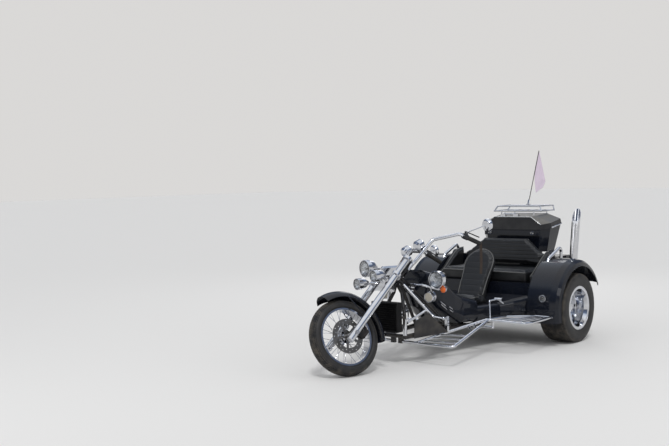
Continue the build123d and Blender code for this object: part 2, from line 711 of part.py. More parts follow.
def driver_seat_cushion():
    low = TUB_TOP + SOFT_GAP
    outline = Polyline((SEAT_FRONT_Y, low), (SEAT_FRONT_Y, SEAT_FRONT_Z - 25), (SEAT_FRONT_Y + 35, SEAT_FRONT_Z),
                       (SEAT_BACK_Y, SEAT_REAR_Z), (SEAT_BACK_Y, low), close=True)
    return extrude(Plane.YZ * make_face(outline), SEAT_HALF, both=True)


def driver_seat_back():
    side = BACK_HALF
    foot = BACK_FOOT_HALF
    crown = ThreePointArc((-side, BACK_SHOULDER), (0, BACK_HEIGHT), (side, BACK_SHOULDER))
    sides = Polyline((side, BACK_SHOULDER), (foot, -60), (-foot, -60), (-side, BACK_SHOULDER))
    shell = extrude(make_face([crown, sides]), BACK_WALL)
    placed = Pos(0, BACK_FOOT_Y + BACK_WALL, TUB_TOP) * Rot(90 - BACK_LEAN, 0, 0) * shell
    floor = block((-600, 1600, 0), (600, 2300, TUB_TOP + SOFT_GAP))
    return placed - floor - lofted([(y, half, low, top + SOFT_GAP) for y, half, low, top in TUB_SECTIONS])


# Rear body: a thin shell open underneath. Side outline y, z
REAR_FRONT_Y = WHEELBASE - 394.0
REAR_WALL_Y = WHEELBASE + 494.0
BENCH_STEP_Y = ENGINE_FRONT_Y - 20.0
DECK_REAR_Y = WHEELBASE + 414.0
REAR_SLOPE_Z = 690.0
REAR_OUTLINE = [
    (REAR_FRONT_Y, BODY_Z),
    (REAR_FRONT_Y, BENCH_BASE),
    (BENCH_STEP_Y, BENCH_BASE),
    (BENCH_STEP_Y + 10, DECK_Z),
    (DECK_REAR_Y, DECK_Z),
    (REAR_WALL_Y, REAR_SLOPE_Z),
    (REAR_WALL_Y, BODY_Z),
]
SHAFT_HOLE_R = 90.0


def side_profile(points, half):
    return extrude(Plane.YZ * make_face(Polyline(*points, close=True)), half, both=True)


def rear_body():
    wall = BODY_WALL
    inner = [
        (REAR_FRONT_Y + wall, 0),
        (REAR_FRONT_Y + wall, BENCH_BASE - wall),
        (BENCH_STEP_Y + wall, BENCH_BASE - wall),
        (BENCH_STEP_Y + 10 + wall, DECK_Z - wall),
        (DECK_REAR_Y - wall / 2, DECK_Z - wall),
        (REAR_WALL_Y - wall, REAR_SLOPE_Z - wall / 2),
        (REAR_WALL_Y - wall, 0),
    ]
    shell = side_profile(REAR_OUTLINE, BODY_HALF) - side_profile(inner, BODY_HALF - wall)
    arch = Pos(0, WHEELBASE, REAR_TYRE_R) * Rot(0, 90, 0) * Cylinder(FENDER_R, 2 * BODY_HALF)
    arch -= block((-BODY_HALF, 0, -500), (BODY_HALF, 5000, BODY_Z))
    arch -= block((-BODY_HALF + wall, 0, -500), (BODY_HALF - wall, 5000, 3000))
    hole = Pos(0, WHEELBASE, REAR_TYRE_R) * Rot(0, 90, 0) * Cylinder(SHAFT_HOLE_R, 3 * BODY_HALF)
    tub = lofted(TUB_SECTIONS)
    return shell + arch - hole - tub


# Fender skin over each rear wheel: x, radius of its outer outline from the body outwards
FENDER_ROWS = [
    (BODY_HALF, FENDER_R),
    (FENDER_OUTER - 90, FENDER_R),
    (FENDER_OUTER - 34, FENDER_R - 12),
    (FENDER_OUTER - 10, FENDER_R - 34),
    (FENDER_OUTER, FENDER_LIP_R),
]
# Round lamp on the fender's front: centre of its face
FENDER_LAMP = (722.0, WHEELBASE - 474, 462.0)
FENDER_LAMP_R = 33.0
FENDER_LAMP_DEPTH = 24.0
FENDER_FRONT_DROP = 13.0
FENDER_REAR_RISE = 27.0


def fender_drum(shrink):
    return Pos(0, WHEELBASE, REAR_TYRE_R) * Rot(0, 90, 0) * Cylinder(FENDER_R - shrink, 3 * FENDER_OUTER)


def rear_fender():
    inner = [(x - FENDER_WALL * share, r - FENDER_WALL * (1 - share / 2))
             for (x, r), share in zip(FENDER_ROWS, (0, 0.2, 0.5, 0.9, 1.0))]
    inner[-1] = (FENDER_OUTER - FENDER_WALL, FENDER_LIP_R)
    arc = 180 + FENDER_FRONT_DROP - FENDER_REAR_RISE
    skin = turned(FENDER_ROWS + inner[::-1], FENDER_REAR_RISE, arc)
    x, y, z = FENDER_LAMP
    lamp = rod((x, y, z), (x, y + 2 * FENDER_LAMP_DEPTH, z), FENDER_LAMP_R)
    lamp -= fender_drum(FENDER_WALL)
    return Pos(0, WHEELBASE, REAR_TYRE_R) * skin + lamp


# Passenger bench
BENCH_HALF = 500.0
BENCH_FRONT_Y = WHEELBASE - 361.0
BENCH_TOP = 695.0
BENCH_BACK_Y = WHEELBASE + 24.0
BENCH_BACK_TOP = 1000.0
BENCH_BACK_LEAN = 75.0
BENCH_BACK_WALL = 62.0
BENCH_TUCK = 40.0
# Back's outline from the bottom upwards: half width, z
BENCH_BACK_ROWS = [(470.0, BENCH_TOP + SOFT_GAP), (470.0, 816.0), (255.0, BENCH_BACK_TOP)]


def bench_cushion():
    low = (-BENCH_HALF, BENCH_FRONT_Y, BENCH_BASE + SOFT_GAP)
    return block(low, (BENCH_HALF, BENCH_BACK_Y + BENCH_TUCK, BENCH_TOP))


def bench_back():
    right = [(-half, z) for half, z in reversed(BENCH_BACK_ROWS)]
    face = make_face(Polyline(*BENCH_BACK_ROWS, *right, close=True))
    slab = extrude(Plane.XZ.offset(-3000) * face, 3000)
    top = BENCH_BACK_Y + BENCH_BACK_LEAN
    lean = [(BENCH_BACK_Y, BENCH_TOP), (top, BENCH_BACK_TOP), (top + BENCH_BACK_WALL, BENCH_BACK_TOP),
            (BENCH_BACK_Y + BENCH_BACK_WALL, BENCH_TOP)]
    return slab & side_profile(lean, BENCH_HALF)


# Side bolster of the bench: y, z of its outline
BOLSTER_FRONT_Y = BENCH_FRONT_Y + 25.0
BOLSTER_REAR_Y = BENCH_STEP_Y - 7.0
BOLSTER_OUTLINE = [(BOLSTER_FRONT_Y, BENCH_BASE + SOFT_GAP), (BOLSTER_FRONT_Y, 640.0), (WHEELBASE - 146, 790.0),
                   (WHEELBASE - 16, 880.0), (BOLSTER_REAR_Y, 890.0), (BOLSTER_REAR_Y, BENCH_BASE + SOFT_GAP)]


def bench_bolster():
    width = BODY_HALF - BODY_WALL - BENCH_HALF - 2 - SOFT_GAP
    face = make_face(Polyline(*BOLSTER_OUTLINE, close=True))
    return Pos(BENCH_HALF + 2, 0, 0) * extrude(Plane.YZ * face, width)


# Grab rail over each fender: y, z
GRAB_X = 600.0
GRAB_R = 16.0
GRAB_BEND = 40.0
GRAB_ROUTE = [(WHEELBASE - 236, 640.0), (WHEELBASE - 106, 806.0), (WHEELBASE + 146, 908.0), (WHEELBASE + 130, 740.0)]


def grab_rail():
    rail = bent_bar([(GRAB_X, y, z) for y, z in GRAB_ROUTE], GRAB_R, GRAB_BEND)
    return rail - fender_drum(0)


# Footboards. Outer rail and inner rail in chrome tube: x, y, z
BOARD_R = 13.0
SLAT_R = 7.0
BOARD_OUTER = [
    (FRONT_LUG_X, FRONT_LUG_Y, FRONT_LUG_Z),
    (585.0, FRONT_LUG_Y, FRONT_LUG_Z),
    (500.0, 1385.0, 318.0),
    (812.0, 1470.0, 298.0),
    (838.0, 1560.0, 296.0),
    (818.0, WHEELBASE - 488, 294.0),
]
BOARD_INNER = [
    (205.0, FRONT_LUG_Y, FRONT_LUG_Z),
    (298.0, 1016.0, 240.0),
    (470.0, 1410.0, 316.0),
    (500.0, 1700.0, 308.0),
    (655.0, WHEELBASE - 488, 294.0),
]
FRONT_SLATS = 6
REAR_SLATS = 4


def between(start, end, share):
    return tuple(a + (b - a) * share for a, b in zip(start, end))


def footboard():
    board = bent_bar(BOARD_OUTER, BOARD_R, 30)
    board += bent_bar(BOARD_INNER, BOARD_R, 30)
    board += rod(BOARD_OUTER[-1], BOARD_INNER[-1], BOARD_R)
    board += weld(BOARD_OUTER[-1], BOARD_R) + weld(BOARD_INNER[-1], BOARD_R)
    for index in range(FRONT_SLATS):
        share = 0.12 + 0.82 * index / FRONT_SLATS
        outer = between(BOARD_OUTER[1], BOARD_OUTER[2], share)
        inner = between(BOARD_INNER[1], BOARD_INNER[2], share)
        if index < 3:
            inner = between(BOARD_INNER[0], BOARD_INNER[1], share * 2)
        board += rod(inner, outer, SLAT_R)
    for index in range(REAR_SLATS):
        share = (index + 1) / (REAR_SLATS + 1)
        front = between(BOARD_INNER[2], BOARD_OUTER[3], share)
        rear = between(BOARD_INNER[4], BOARD_OUTER[5], share)
        board += rod(front, rear, SLAT_R)
    for (y, face), reach in zip(BOARD_LUGS, (478.0, 620.0)):
        elbow = (reach, y, RAIL_Z)
        board += rod((face, y, RAIL_Z), elbow, BOARD_R) + weld(elbow, BOARD_R)
        board += rod(elbow, (reach, y, 305), BOARD_R * 0.8)
    board += block((TIE_X - TIE_HALF, TIE_Y, 240), (TIE_X + TIE_HALF, TIE_Y + 30, TIE_Z + TIE_HALF))
    return board


# Foot lever on the left board
def foot_lever():
    lever = bent_bar([(486, 1440, 318), (452, 1486, 478), (470, 1600, 483), (500, 1650, 440)], 7, 16)
    return lever + rod((440, 1600, 482), (512, 1606, 482), 12)


# Power unit: a plain engine block behind the axle and a gearbox ahead of it
ENGINE_LOW = 270.0
ENGINE_HIGH = 600.0
ENGINE_HALF = 215.0
ENGINE_REAR_Y = WHEELBASE + 440.0
GEARBOX_HALF = 105.0
GEARBOX_FRONT_Y = WHEELBASE - 316.0
GEARBOX_TOP = 430.0
GEARBOX_LOW = 258.0
SUMP_SIZE = (180.0, 120.0, 80.0)


def power_unit():
    engine = block((-ENGINE_HALF, ENGINE_FRONT_Y, ENGINE_LOW), (ENGINE_HALF, ENGINE_REAR_Y, ENGINE_HIGH))
    gearbox = block((-GEARBOX_HALF, GEARBOX_FRONT_Y, GEARBOX_LOW), (GEARBOX_HALF, ENGINE_FRONT_Y, GEARBOX_TOP))
    sump = Pos(0, ENGINE_FRONT_Y + 134, ENGINE_LOW - 30) * Box(*SUMP_SIZE)
    return engine + gearbox + sump


# Rear axle: half shaft, hub carrier, trailing arm and shock absorber on each side
STUB_R = 20.0
CARRIER_X = 622.0
CARRIER_WALL = 26.0
SHAFT_R = 15.0
ARM_R = 24.0
SHOCK_R = 28.0
SHOCK_X = 512.0
SHOCK_Y = WHEELBASE - 224.0
SHOCK_FOOT_Z = 262.0
DRUM_R = 125.0
DRUM_INNER = -66.0
# Trailing arm: x, y, z
ARM_ROUTE = [
    (PIVOT_TUBE_X - 20, PIVOT_TUBE_Y + 30, RAIL_Z),
    (PIVOT_TUBE_X - 20, WHEELBASE - 296, RAIL_Z),
    (600.0, WHEELBASE - 76, 228.0),
    (CARRIER_X + CARRIER_WALL / 2, WHEELBASE - 6, 250.0),
]


def rear_axle():
    centre = (WHEELBASE, REAR_TYRE_R)
    inner = REAR_TRACK_HALF + DRUM_INNER - RUNNING_GAP
    axle = rod((GEARBOX_HALF, *centre), (CARRIER_X + CARRIER_WALL, *centre), SHAFT_R)
    axle += rod((CARRIER_X, *centre), (inner, *centre), 45)
    axle += rod((inner, *centre), (REAR_TRACK_HALF + HUB_BORE_END, *centre), STUB_R)
    axle += block((CARRIER_X, WHEELBASE - 42, 228), (CARRIER_X + CARRIER_WALL, WHEELBASE + 42, REAR_TYRE_R + 60))
    for start, end in zip(ARM_ROUTE, ARM_ROUTE[1:]):
        axle += rod(start, end, ARM_R)
    for corner in ARM_ROUTE[1:-1]:
        axle += weld(corner, ARM_R)
    return axle + block((SHOCK_X - 22, SHOCK_Y - 20, 225), (SHOCK_X + 22, SHOCK_Y + 20, SHOCK_FOOT_Z))


def shock():
    damper = rod((SHOCK_X, SHOCK_Y, SHOCK_FOOT_Z), (SHOCK_X, SHOCK_Y, BENCH_BASE - BODY_WALL), SHOCK_R * 0.5)
    return damper + rod((SHOCK_X, SHOCK_Y, SHOCK_FOOT_Z + 40), (SHOCK_X, SHOCK_Y, BENCH_BASE - 60), SHOCK_R)


# Rear wheel about its own axle, its outer face at +X
HUB_BORE_END = 18.0
REAR_HUB_R = 50.0
REAR_CAP_R = 38.0
REAR_CAP_END = 46.0
REAR_RIM_HALF = REAR_BEAD_HALF + RUNNING_GAP
REAR_DISC_X = REAR_RIM_HALF + FLANGE_WALL - REAR_DISH_DEPTH
REAR_DISC_WALL = 10.0
VENT_COUNT = 8
VENT_R = 17.0
VENT_RING_R = 140.0
STEP_R = 168.0


def rear_tyre():
    half = REAR_TYRE_WIDTH / 2
    bead_top = REAR_FLANGE_R + 2
    side_r = (REAR_TYRE_R + bead_top) / 2
    return turned([
        (REAR_BEAD_HALF, REAR_BEAD_R), (REAR_BEAD_HALF, bead_top), (half - 4, side_r - 26), (half, side_r),
        (half - 2, side_r + 30), (REAR_SHOULDER_HALF, REAR_TYRE_R - 8), (REAR_SHOULDER_HALF - 16, REAR_TYRE_R),
        (-REAR_SHOULDER_HALF + 16, REAR_TYRE_R), (-REAR_SHOULDER_HALF, REAR_TYRE_R - 8), (-half + 2, side_r + 30),
        (-half, side_r), (-half + 4, side_r - 26), (-REAR_BEAD_HALF, bead_top), (-REAR_BEAD_HALF, REAR_BEAD_R),
    ])


def rear_rim():
    seat = REAR_BEAD_R - RUNNING_GAP
    inner = REAR_RIM_HALF
    outer = inner + FLANGE_WALL
    rim = turned([
        (-outer, REAR_FLANGE_R), (-inner, REAR_FLANGE_R), (-inner, seat), (inner, seat), (inner, REAR_FLANGE_R),
        (outer, REAR_FLANGE_R), (outer, seat - 10), (inner - 30, seat - 22), (inner - 40, STEP_R),
        (REAR_DISC_X + 4, STEP_R - 4), (REAR_DISC_X, STEP_R - 12), (REAR_DISC_X, 62), (REAR_DISC_X + 14, 48),
        (REAR_DISC_X + 14, STUB_R + RUNNING_GAP), (DRUM_INNER, STUB_R + RUNNING_GAP), (DRUM_INNER, DRUM_R),
        (REAR_DISC_X - REAR_DISC_WALL, DRUM_R), (REAR_DISC_X - REAR_DISC_WALL, STEP_R - 12),
        (REAR_DISC_X - REAR_DISC_WALL, STEP_R), (inner - 50, STEP_R + 6), (inner - 60, seat - RIM_WALL),
        (-outer, seat - RIM_WALL),
    ])
    cap = turned([(REAR_DISC_X + 14, 0), (REAR_DISC_X + 14, REAR_CAP_R), (REAR_CAP_END, REAR_CAP_R - 8), (REAR_CAP_END, 0)])
    rim += cap
    for index in range(VENT_COUNT):
        vent = Pos(REAR_DISC_X, 0, VENT_RING_R) * Rot(0, 90, 0) * Cylinder(VENT_R, 6 * REAR_DISC_WALL)
        rim -= Rot(index * 360 / VENT_COUNT, 0, 0) * vent
    return rim


# Chimney exhaust on the left
STACK_R = 41.0
STACK_Y = WHEELBASE + 346.0
STACK_Z = 720.0
STACK_ROUTE = [
    (BODY_HALF, STACK_Y, STACK_Z),
    (BODY_HALF + 62, STACK_Y, STACK_Z),
    (BODY_HALF + 64, STACK_Y + 62, 1110.0),
    (BODY_HALF + 66, STACK_Y + 105, 1290.0),
]
STACK_BEND = 42.0
MOUTH_DEPTH = 160.0
MOUTH_Z = 1190.0
MOUTH_FACE = Vector(0.25, -0.75, 0.62)
PIPE_WALL = 3.0


def exhaust_stack():
    pipe = bent_bar(STACK_ROUTE, STACK_R, STACK_BEND)
    tip = Vector(*STACK_ROUTE[-1])
    along = (tip - Vector(*STACK_ROUTE[-2])).normalized()
    pipe -= rod(tip - along * MOUTH_DEPTH, tip + along * 5, STACK_R - PIPE_WALL)
    below = (tip.Z - MOUTH_Z) / along.Z
    mouth = Plane(origin=tip - along * below, z_dir=MOUTH_FACE)
    return pipe - mouth * block((-300, -300, 0), (300, 300, 300))


# Rear lamps, plate holder
TAIL_LAMP_X = 440.0
TAIL_LAMP_Z = 600.0
TAIL_LAMP_R = 48.0
TAIL_LAMP_DEPTH = 38.0
PLATE_HALF = 105.0
PLATE_LOW = 420.0
PLATE_HIGH = 560.0
PLATE_WALL = 6.0
PLATE_HOLE_X = 75.0
PLATE_HOLE_R = 3.5


def tail_lamps():
    lamps = []
    for side in (-1, 1):
        for offset in (0, -2.2 * TAIL_LAMP_R):
            x = side * (TAIL_LAMP_X + offset)
            lamps.append(rod((x, REAR_WALL_Y, TAIL_LAMP_Z), (x, REAR_WALL_Y + TAIL_LAMP_DEPTH, TAIL_LAMP_Z), TAIL_LAMP_R))
    return fuse(*lamps)


def plate_holder():
    plate = block((-PLATE_HALF, REAR_WALL_Y, PLATE_LOW), (PLATE_HALF, REAR_WALL_Y + PLATE_WALL, PLATE_HIGH))
    middle = (PLATE_LOW + PLATE_HIGH) / 2
    for side in (-1, 1):
        x = side * PLATE_HOLE_X
        plate -= rod((x, REAR_WALL_Y - 1, middle), (x, REAR_WALL_Y + PLATE_WALL + 1, middle), PLATE_HOLE_R)
    return plate


# Trunk box and its hinged lid. The parting line rises towards the rear.
TRUNK_FRONT_Y = WHEELBASE + 244.0
TRUNK_LOW = 830.0
LID_EDGE_Z = 1056.0
LID_RISE = 0.171
TRUNK_WALL = 5.0
LID_WALL = 5.0
# Left half of the box in plan, from the front backwards: x, distance behind the trunk's front
TRUNK_BASE = [(285.0, 10.0), (345.0, 85.0), (345.0, 235.0), (285.0, 295.0)]
TRUNK_RIM = [(323.0, 0.0), (405.0, 75.0), (412.0, 275.0), (330.0, 385.0)]
TRUNK_RIM_Z = 1140.0
# Lid sections: distance behind the trunk's front, half width of the edge, then half width and z of bevel and roof
LID_SECTIONS = [
    (0.0, 323.0, (323.0, 1105.0), (212.0, 1182.0)),
    (75.0, 405.0, (396.0, 1122.0), (221.0, 1190.0)),
    (275.0, 412.0, (399.0, 1157.0), (246.0, 1212.0)),
    (385.0, 330.0, (318.0, 1150.0), (205.0, 1196.0)),
]
# Foot under the box and the band across its front that carries two small lamps
FOOT_HALF = 250.0
FOOT_Y = (20.0, 160.0)
BAND_HALF = 315.0
BAND_DEPTH = 30.0
BAND_Z = (998.0, 1044.0)
BAND_LAMP_X = 245.0
BAND_LAMP_R = 15.0


def lid_edge(back):
    """Height of the lid's lower edge at a distance behind the trunk's front."""
    return LID_EDGE_Z + LID_RISE * back


def trunk_form(shrink, low):
    faces = []
    for outline, z in ((TRUNK_BASE, low), (TRUNK_RIM, TRUNK_RIM_Z)):
        inward = (shrink, shrink, -shrink, -shrink)
        left = [(x - shrink, TRUNK_FRONT_Y + back + step) for (x, back), step in zip(outline, inward)]
        right = [(-x, y) for x, y in reversed(left)]
        faces.append(Pos(0, 0, z) * make_face(Polyline(*left, *right, close=True)))
    return loft(faces, ruled=True)


def trunk_box():
    box = trunk_form(0, TRUNK_LOW) - trunk_form(TRUNK_WALL, TRUNK_LOW + TRUNK_WALL)
    above = [(TRUNK_FRONT_Y + back, lid_edge(back) - RUNNING_GAP) for back in (-100, 500)]
    above += [(y, TRUNK_RIM_Z + 100) for y, _ in reversed(above)]
    box -= side_profile(above, BODY_HALF)
    near, far = FOOT_Y
    box += block((-FOOT_HALF, TRUNK_FRONT_Y + near, DECK_Z), (FOOT_HALF, TRUNK_FRONT_Y + far, TRUNK_LOW + 1))
    low, high = BAND_Z
    face = TRUNK_FRONT_Y - BAND_DEPTH
    box += block((-BAND_HALF, face, low), (BAND_HALF, TRUNK_FRONT_Y + TRUNK_WALL, high))
    for side in (-1, 1):
        lamp = (side * BAND_LAMP_X, face, (low + high) / 2)
        box += rod(lamp, (lamp[0], face - 10, lamp[2]), BAND_LAMP_R)
    return box


def lid_form(shrink):
    faces = []
    last = len(LID_SECTIONS) - 1
    for index, (back, half, *rows) in enumerate(LID_SECTIONS):
        back += shrink if index == 0 else 0
        back -= shrink if index == last else 0
        left = [(half - shrink, lid_edge(back))] + [(side - shrink, z - shrink) for side, z in rows]
        right = [(-side, z) for side, z in reversed(left)]
        plane = Plane(origin=(0, TRUNK_FRONT_Y + back, 0), x_dir=(1, 0, 0), z_dir=(0, -1, 0))
        faces.append(plane * make_face(Polyline(*left, *right, close=True)))
    return loft(faces, ruled=True)


def trunk_lid():
    return lid_form(0) - lid_form(LID_WALL)


# Luggage rack on the lid: a low rail and a top rail joined by leaning posts, with the flag's socket
RACK_Z = 1287.0
RACK_HALF = 248.0
RACK_FRONT_Y = TRUNK_FRONT_Y + 130.0
RACK_REAR_Y = TRUNK_FRONT_Y + 405.0
RACK_LOW_Z = 1238.0
RACK_SPREAD = 28.0
RACK_R = 7.0
RACK_SLATS = 4
RACK_FOOT_X = 190.0
SLAT_HALF = 12.0
SLAT_WALL = 5.0
CLEAT_X = [-125.0, 25.0]
CLEAT_SIZE = (56.0, 34.0, 26.0)
CLEAT_Y = TRUNK_FRONT_Y + 36.0
CLEAT_Z = 1195.0
MAST_BASE = Vector(-41.0, RACK_REAR_Y, 1301.0)
MAST_TOP = Vector(-10.0, RACK_REAR_Y + 186, 1866.0)
MAST_R = 4.0
MAST_SEAT = 20.0
SOCKET_LENGTH = 46.0


def rack_loop(spread, z):
    """Corners of one of the rack's rails."""
    half = RACK_HALF + spread
    front = RACK_FRONT_Y - spread
    rear = RACK_REAR_Y - spread
    return [(-half, front, z), (half, front, z), (half, rear, z), (-half, rear, z)]


def luggage_rack():
    top = rack_loop(0, RACK_Z)
    low = rack_loop(RACK_SPREAD, RACK_LOW_Z)
    pieces = []
    for loop in (top, low):
        for start, end in zip(loop, loop[1:] + loop[:1]):
            pieces.append(rod(start, end, RACK_R))
            pieces.append(weld(start, RACK_R))
    for start, end in zip(low, top):
        pieces.append(rod(start, end, RACK_R))
    for index in range(RACK_SLATS):
        x = RACK_HALF * (2 * (index + 1) / (RACK_SLATS + 1) - 1)
        pieces.append(block((x - SLAT_HALF, RACK_FRONT_Y, RACK_Z), (x + SLAT_HALF, RACK_REAR_Y, RACK_Z + SLAT_WALL)))
    for side in (-1, 1):
        for _, y, _ in (low[0], low[2]):
            pieces.append(rod((side * RACK_FOOT_X, y, LID_EDGE_Z + 80), (side * RACK_FOOT_X, y, RACK_LOW_Z), RACK_R))
    for x in CLEAT_X:
        pieces.append(Pos(x, CLEAT_Y, CLEAT_Z) * Box(*CLEAT_SIZE))
    pieces.append(rod((CLEAT_X[0], CLEAT_Y, CLEAT_Z + 13), (CLEAT_X[1], CLEAT_Y, CLEAT_Z + 13), RACK_R))
    up = (MAST_TOP - MAST_BASE).normalized()
    seat = (MAST_SEAT, MAST_SEAT, 12)
    pieces.append(Pos(MAST_BASE.X, MAST_BASE.Y, RACK_Z + 6) * Box(*(2 * seat[0], 2 * seat[1], seat[2])))
    pieces.append(rod(MAST_BASE - up * 10, MAST_BASE + up * SOCKET_LENGTH, 3 * MAST_R))
    return fuse(*pieces) - lid_form(0)


def flag_mast():
    up = (MAST_TOP - MAST_BASE).normalized()
    return rod(MAST_BASE + up * SOCKET_LENGTH, MAST_TOP, MAST_R)


# Pennant: distance up the mast, distance out from it
FLAG_OUTLINE = [
    (590.0, 0.0),
    (470.0, 50.0),
    (282.0, 128.0),
    (210.0, 112.0),
    (137.0, 50.0),
    (262.0, 14.0),
    (330.0, 0.0),
]
FLAG_WALL = 2.0
WIND = Vector(0.758, 0.652, 0.0)


def flag():
    up = (MAST_TOP - MAST_BASE).normalized()
    out = WIND - up * WIND.dot(up)
    plane = Plane(origin=MAST_BASE, x_dir=out, z_dir=out.cross(up))
    points = [(away + MAST_R + SOFT_GAP, rise) for rise, away in FLAG_OUTLINE]
    return plane * extrude(make_face(Polyline(*points, close=True)), FLAG_WALL / 2, both=True)


nodes["main_frame"] = main_frame()
nodes["side_braces"] = both_sides(side_brace())
nodes["splash_panels"] = both_sides(splash_panel())
nodes["radiator"] = radiator()
left_lamp = side_lamp()
nodes["side_lamps"] = left_lamp + horn() + mirrored(left_lamp)
nodes["front_cowl"] = lofted(COWL_SECTIONS)
nodes["body_tub"] = lofted(TUB_SECTIONS)
nodes["driver_seat_cushion"] = driver_seat_cushion()
nodes["driver_seat_back"] = driver_seat_back()
nodes["rear_body"] = rear_body()
left_fender = rear_fender()
nodes["rear_fender_left"] = left_fender
nodes["rear_fender_right"] = mirrored(left_fender)
nodes["bench_cushion"] = bench_cushion()
nodes["bench_back"] = bench_back()
nodes["bench_bolsters"] = both_sides(bench_bolster())
nodes["grab_rails"] = both_sides(grab_rail())
left_board = footboard()
nodes["footboard_left"] = left_board + foot_lever()
nodes["footboard_right"] = mirrored(left_board)
nodes["power_unit"] = power_unit()
nodes["rear_axle"] = both_sides(rear_axle())
nodes["rear_shocks"] = both_sides(shock())
nodes["exhaust_stack"] = exhaust_stack()
nodes["tail_lamps"] = tail_lamps()
nodes["plate_holder"] = plate_holder()
nodes["trunk_box"] = trunk_box()
nodes["trunk_lid"] = trunk_lid()
nodes["luggage_rack"] = luggage_rack()
nodes["flag_mast"] = flag_mast()
nodes["flag"] = flag()
left_wheel = Pos(REAR_TRACK_HALF, WHEELBASE, REAR_TYRE_R)
tyre = left_wheel * rear_tyre()
rim = left_wheel * rear_rim()
nodes["rear_tyre_left"] = tyre
nodes["rear_tyre_right"] = mirrored(tyre)
nodes["rear_rim_left"] = rim
nodes["rear_rim_right"] = mirrored(rim)


def corners(shapes):
    """Lowest and highest corner of several shapes."""
    boxes = [shape.bounding_box() for shape in shapes]
    low = [min(getattr(box.min, axis) for box in boxes) for axis in "XYZ"]
    high = [max(getattr(box.max, axis) for box in boxes) for axis in "XYZ"]
    return low, high


# The finished trike stands with the middle of its footprint on the origin.
low, high = corners(nodes.values())
centre = Pos(-(low[0] + high[0]) / 2, -(low[1] + high[1]) / 2, 0)
print("shift", centre.position, "size", [b - a for a, b in zip(low, high)], "lowest", low[2])
for name, shape in nodes.items():
    export_step(centre * shape, f"parts/{name}.step")
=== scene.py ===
# %% [markdown]
# # A motorized trike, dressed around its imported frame
#
# The frame is the plain model that the workshop drawings give: tubes, body shells,
# wheels and seats as solids with true sizes. This lesson gives it paint, chrome,
# rubber, vinyl and glass, and replaces the plain tyres, cushions and pennant with
# shapes that behave like the real materials.

# %% The frame
import json
import math

import bmesh
import bpy
from mathutils import Matrix, Vector
from mathutils.bvhtree import BVHTree


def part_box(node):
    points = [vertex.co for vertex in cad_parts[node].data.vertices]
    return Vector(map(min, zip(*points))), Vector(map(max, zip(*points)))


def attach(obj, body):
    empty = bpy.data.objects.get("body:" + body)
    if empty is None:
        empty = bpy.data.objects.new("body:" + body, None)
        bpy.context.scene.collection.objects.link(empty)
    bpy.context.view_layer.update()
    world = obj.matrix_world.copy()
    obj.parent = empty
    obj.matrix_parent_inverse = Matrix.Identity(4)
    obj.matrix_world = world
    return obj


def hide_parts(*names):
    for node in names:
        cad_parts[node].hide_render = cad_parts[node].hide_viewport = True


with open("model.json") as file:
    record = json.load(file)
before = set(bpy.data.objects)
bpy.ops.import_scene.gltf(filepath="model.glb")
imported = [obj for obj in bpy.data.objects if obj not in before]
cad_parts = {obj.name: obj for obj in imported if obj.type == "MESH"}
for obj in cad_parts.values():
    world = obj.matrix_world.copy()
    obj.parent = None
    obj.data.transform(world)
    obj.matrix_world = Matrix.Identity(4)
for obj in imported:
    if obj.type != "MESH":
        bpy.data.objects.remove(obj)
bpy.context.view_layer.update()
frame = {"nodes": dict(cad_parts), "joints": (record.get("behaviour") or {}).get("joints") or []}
nodes = frame["nodes"]

# %% [markdown]
# The drawings count from the straight front axle, in millimetres, while the frame
# stands centred on its footprint, in metres. One shift and one scale join the two,
# and the steering joint itself says where the fork's own frame lies.

# %% Places
MM = 0.001
WHEELBASE = 2446.0
REAR_TRACK_HALF = 728.0
REAR_TYRE_R = 331.0
FORK_OFFSET = 80.0
STEER_AT_REST = -25.0

low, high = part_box("rear_tyre_left")
SHIFT = (low.y + high.y) / 2 - WHEELBASE * MM
steering = next(joint for joint in frame["joints"] if joint["name"] == "steering")
axis = Vector(steering["axis"]).normalized()
rake = math.atan2(axis.y, axis.z)
CHASSIS = Matrix.Translation((0, SHIFT, 0))
HEAD = Matrix.Translation(steering["pos_m"]) @ Matrix.Rotation(-rake, 4, "X")
FORK = HEAD @ Matrix.Rotation(math.radians(STEER_AT_REST), 4, "Z")
FRONT_WHEEL = FORK @ Matrix.Translation((0, -FORK_OFFSET * MM, 0))
MIRROR = Matrix.Scale(-1, 4, (1, 0, 0))
LEFT_WHEEL = CHASSIS @ Matrix.Translation(Vector((REAR_TRACK_HALF, WHEELBASE, REAR_TYRE_R)) * MM)
RIGHT_WHEEL = MIRROR @ LEFT_WHEEL
print("shift", round(SHIFT, 5), "rake", round(math.degrees(rake), 2))

# %% [markdown]
# The camera stands where the photographer stood, with the lens that gives the
# photograph's frame: 966 pixels of focal length over 669 pixels of width.

# %% Camera
PHOTO_WIDTH = 669.0
FOCAL_PIXELS = 966.0
EYE = Vector((5.092, -6.035 + SHIFT, 1.627))
YAW = math.radians(40.72)
PITCH = math.radians(2.69)
ROLL = math.radians(-1.29)

lens = bpy.data.cameras.new("camera")
lens.sensor_width = 36.0
lens.lens = FOCAL_PIXELS / PHOTO_WIDTH * lens.sensor_width
lens.clip_end = 200.0
camera = bpy.data.objects.new("camera", lens)
bpy.context.scene.collection.objects.link(camera)
camera.matrix_world = (Matrix.Translation(EYE) @ Matrix.Rotation(YAW, 4, "Z")
                       @ Matrix.Rotation(math.pi / 2 - PITCH, 4, "X") @ Matrix.Rotation(ROLL, 4, "Z"))
bpy.context.scene.camera = camera
bpy.context.scene.view_settings.view_transform = "Standard"
print("lens", round(lens.lens, 2), "mm")

# %% [markdown]
# A finish is a node tree. Writing it as sums is easier to read than as links, so one
# small class wraps a socket, and Python's own operators add the Math nodes. Another
# class adds every other kind of node, for the finishes and for the light of the room.


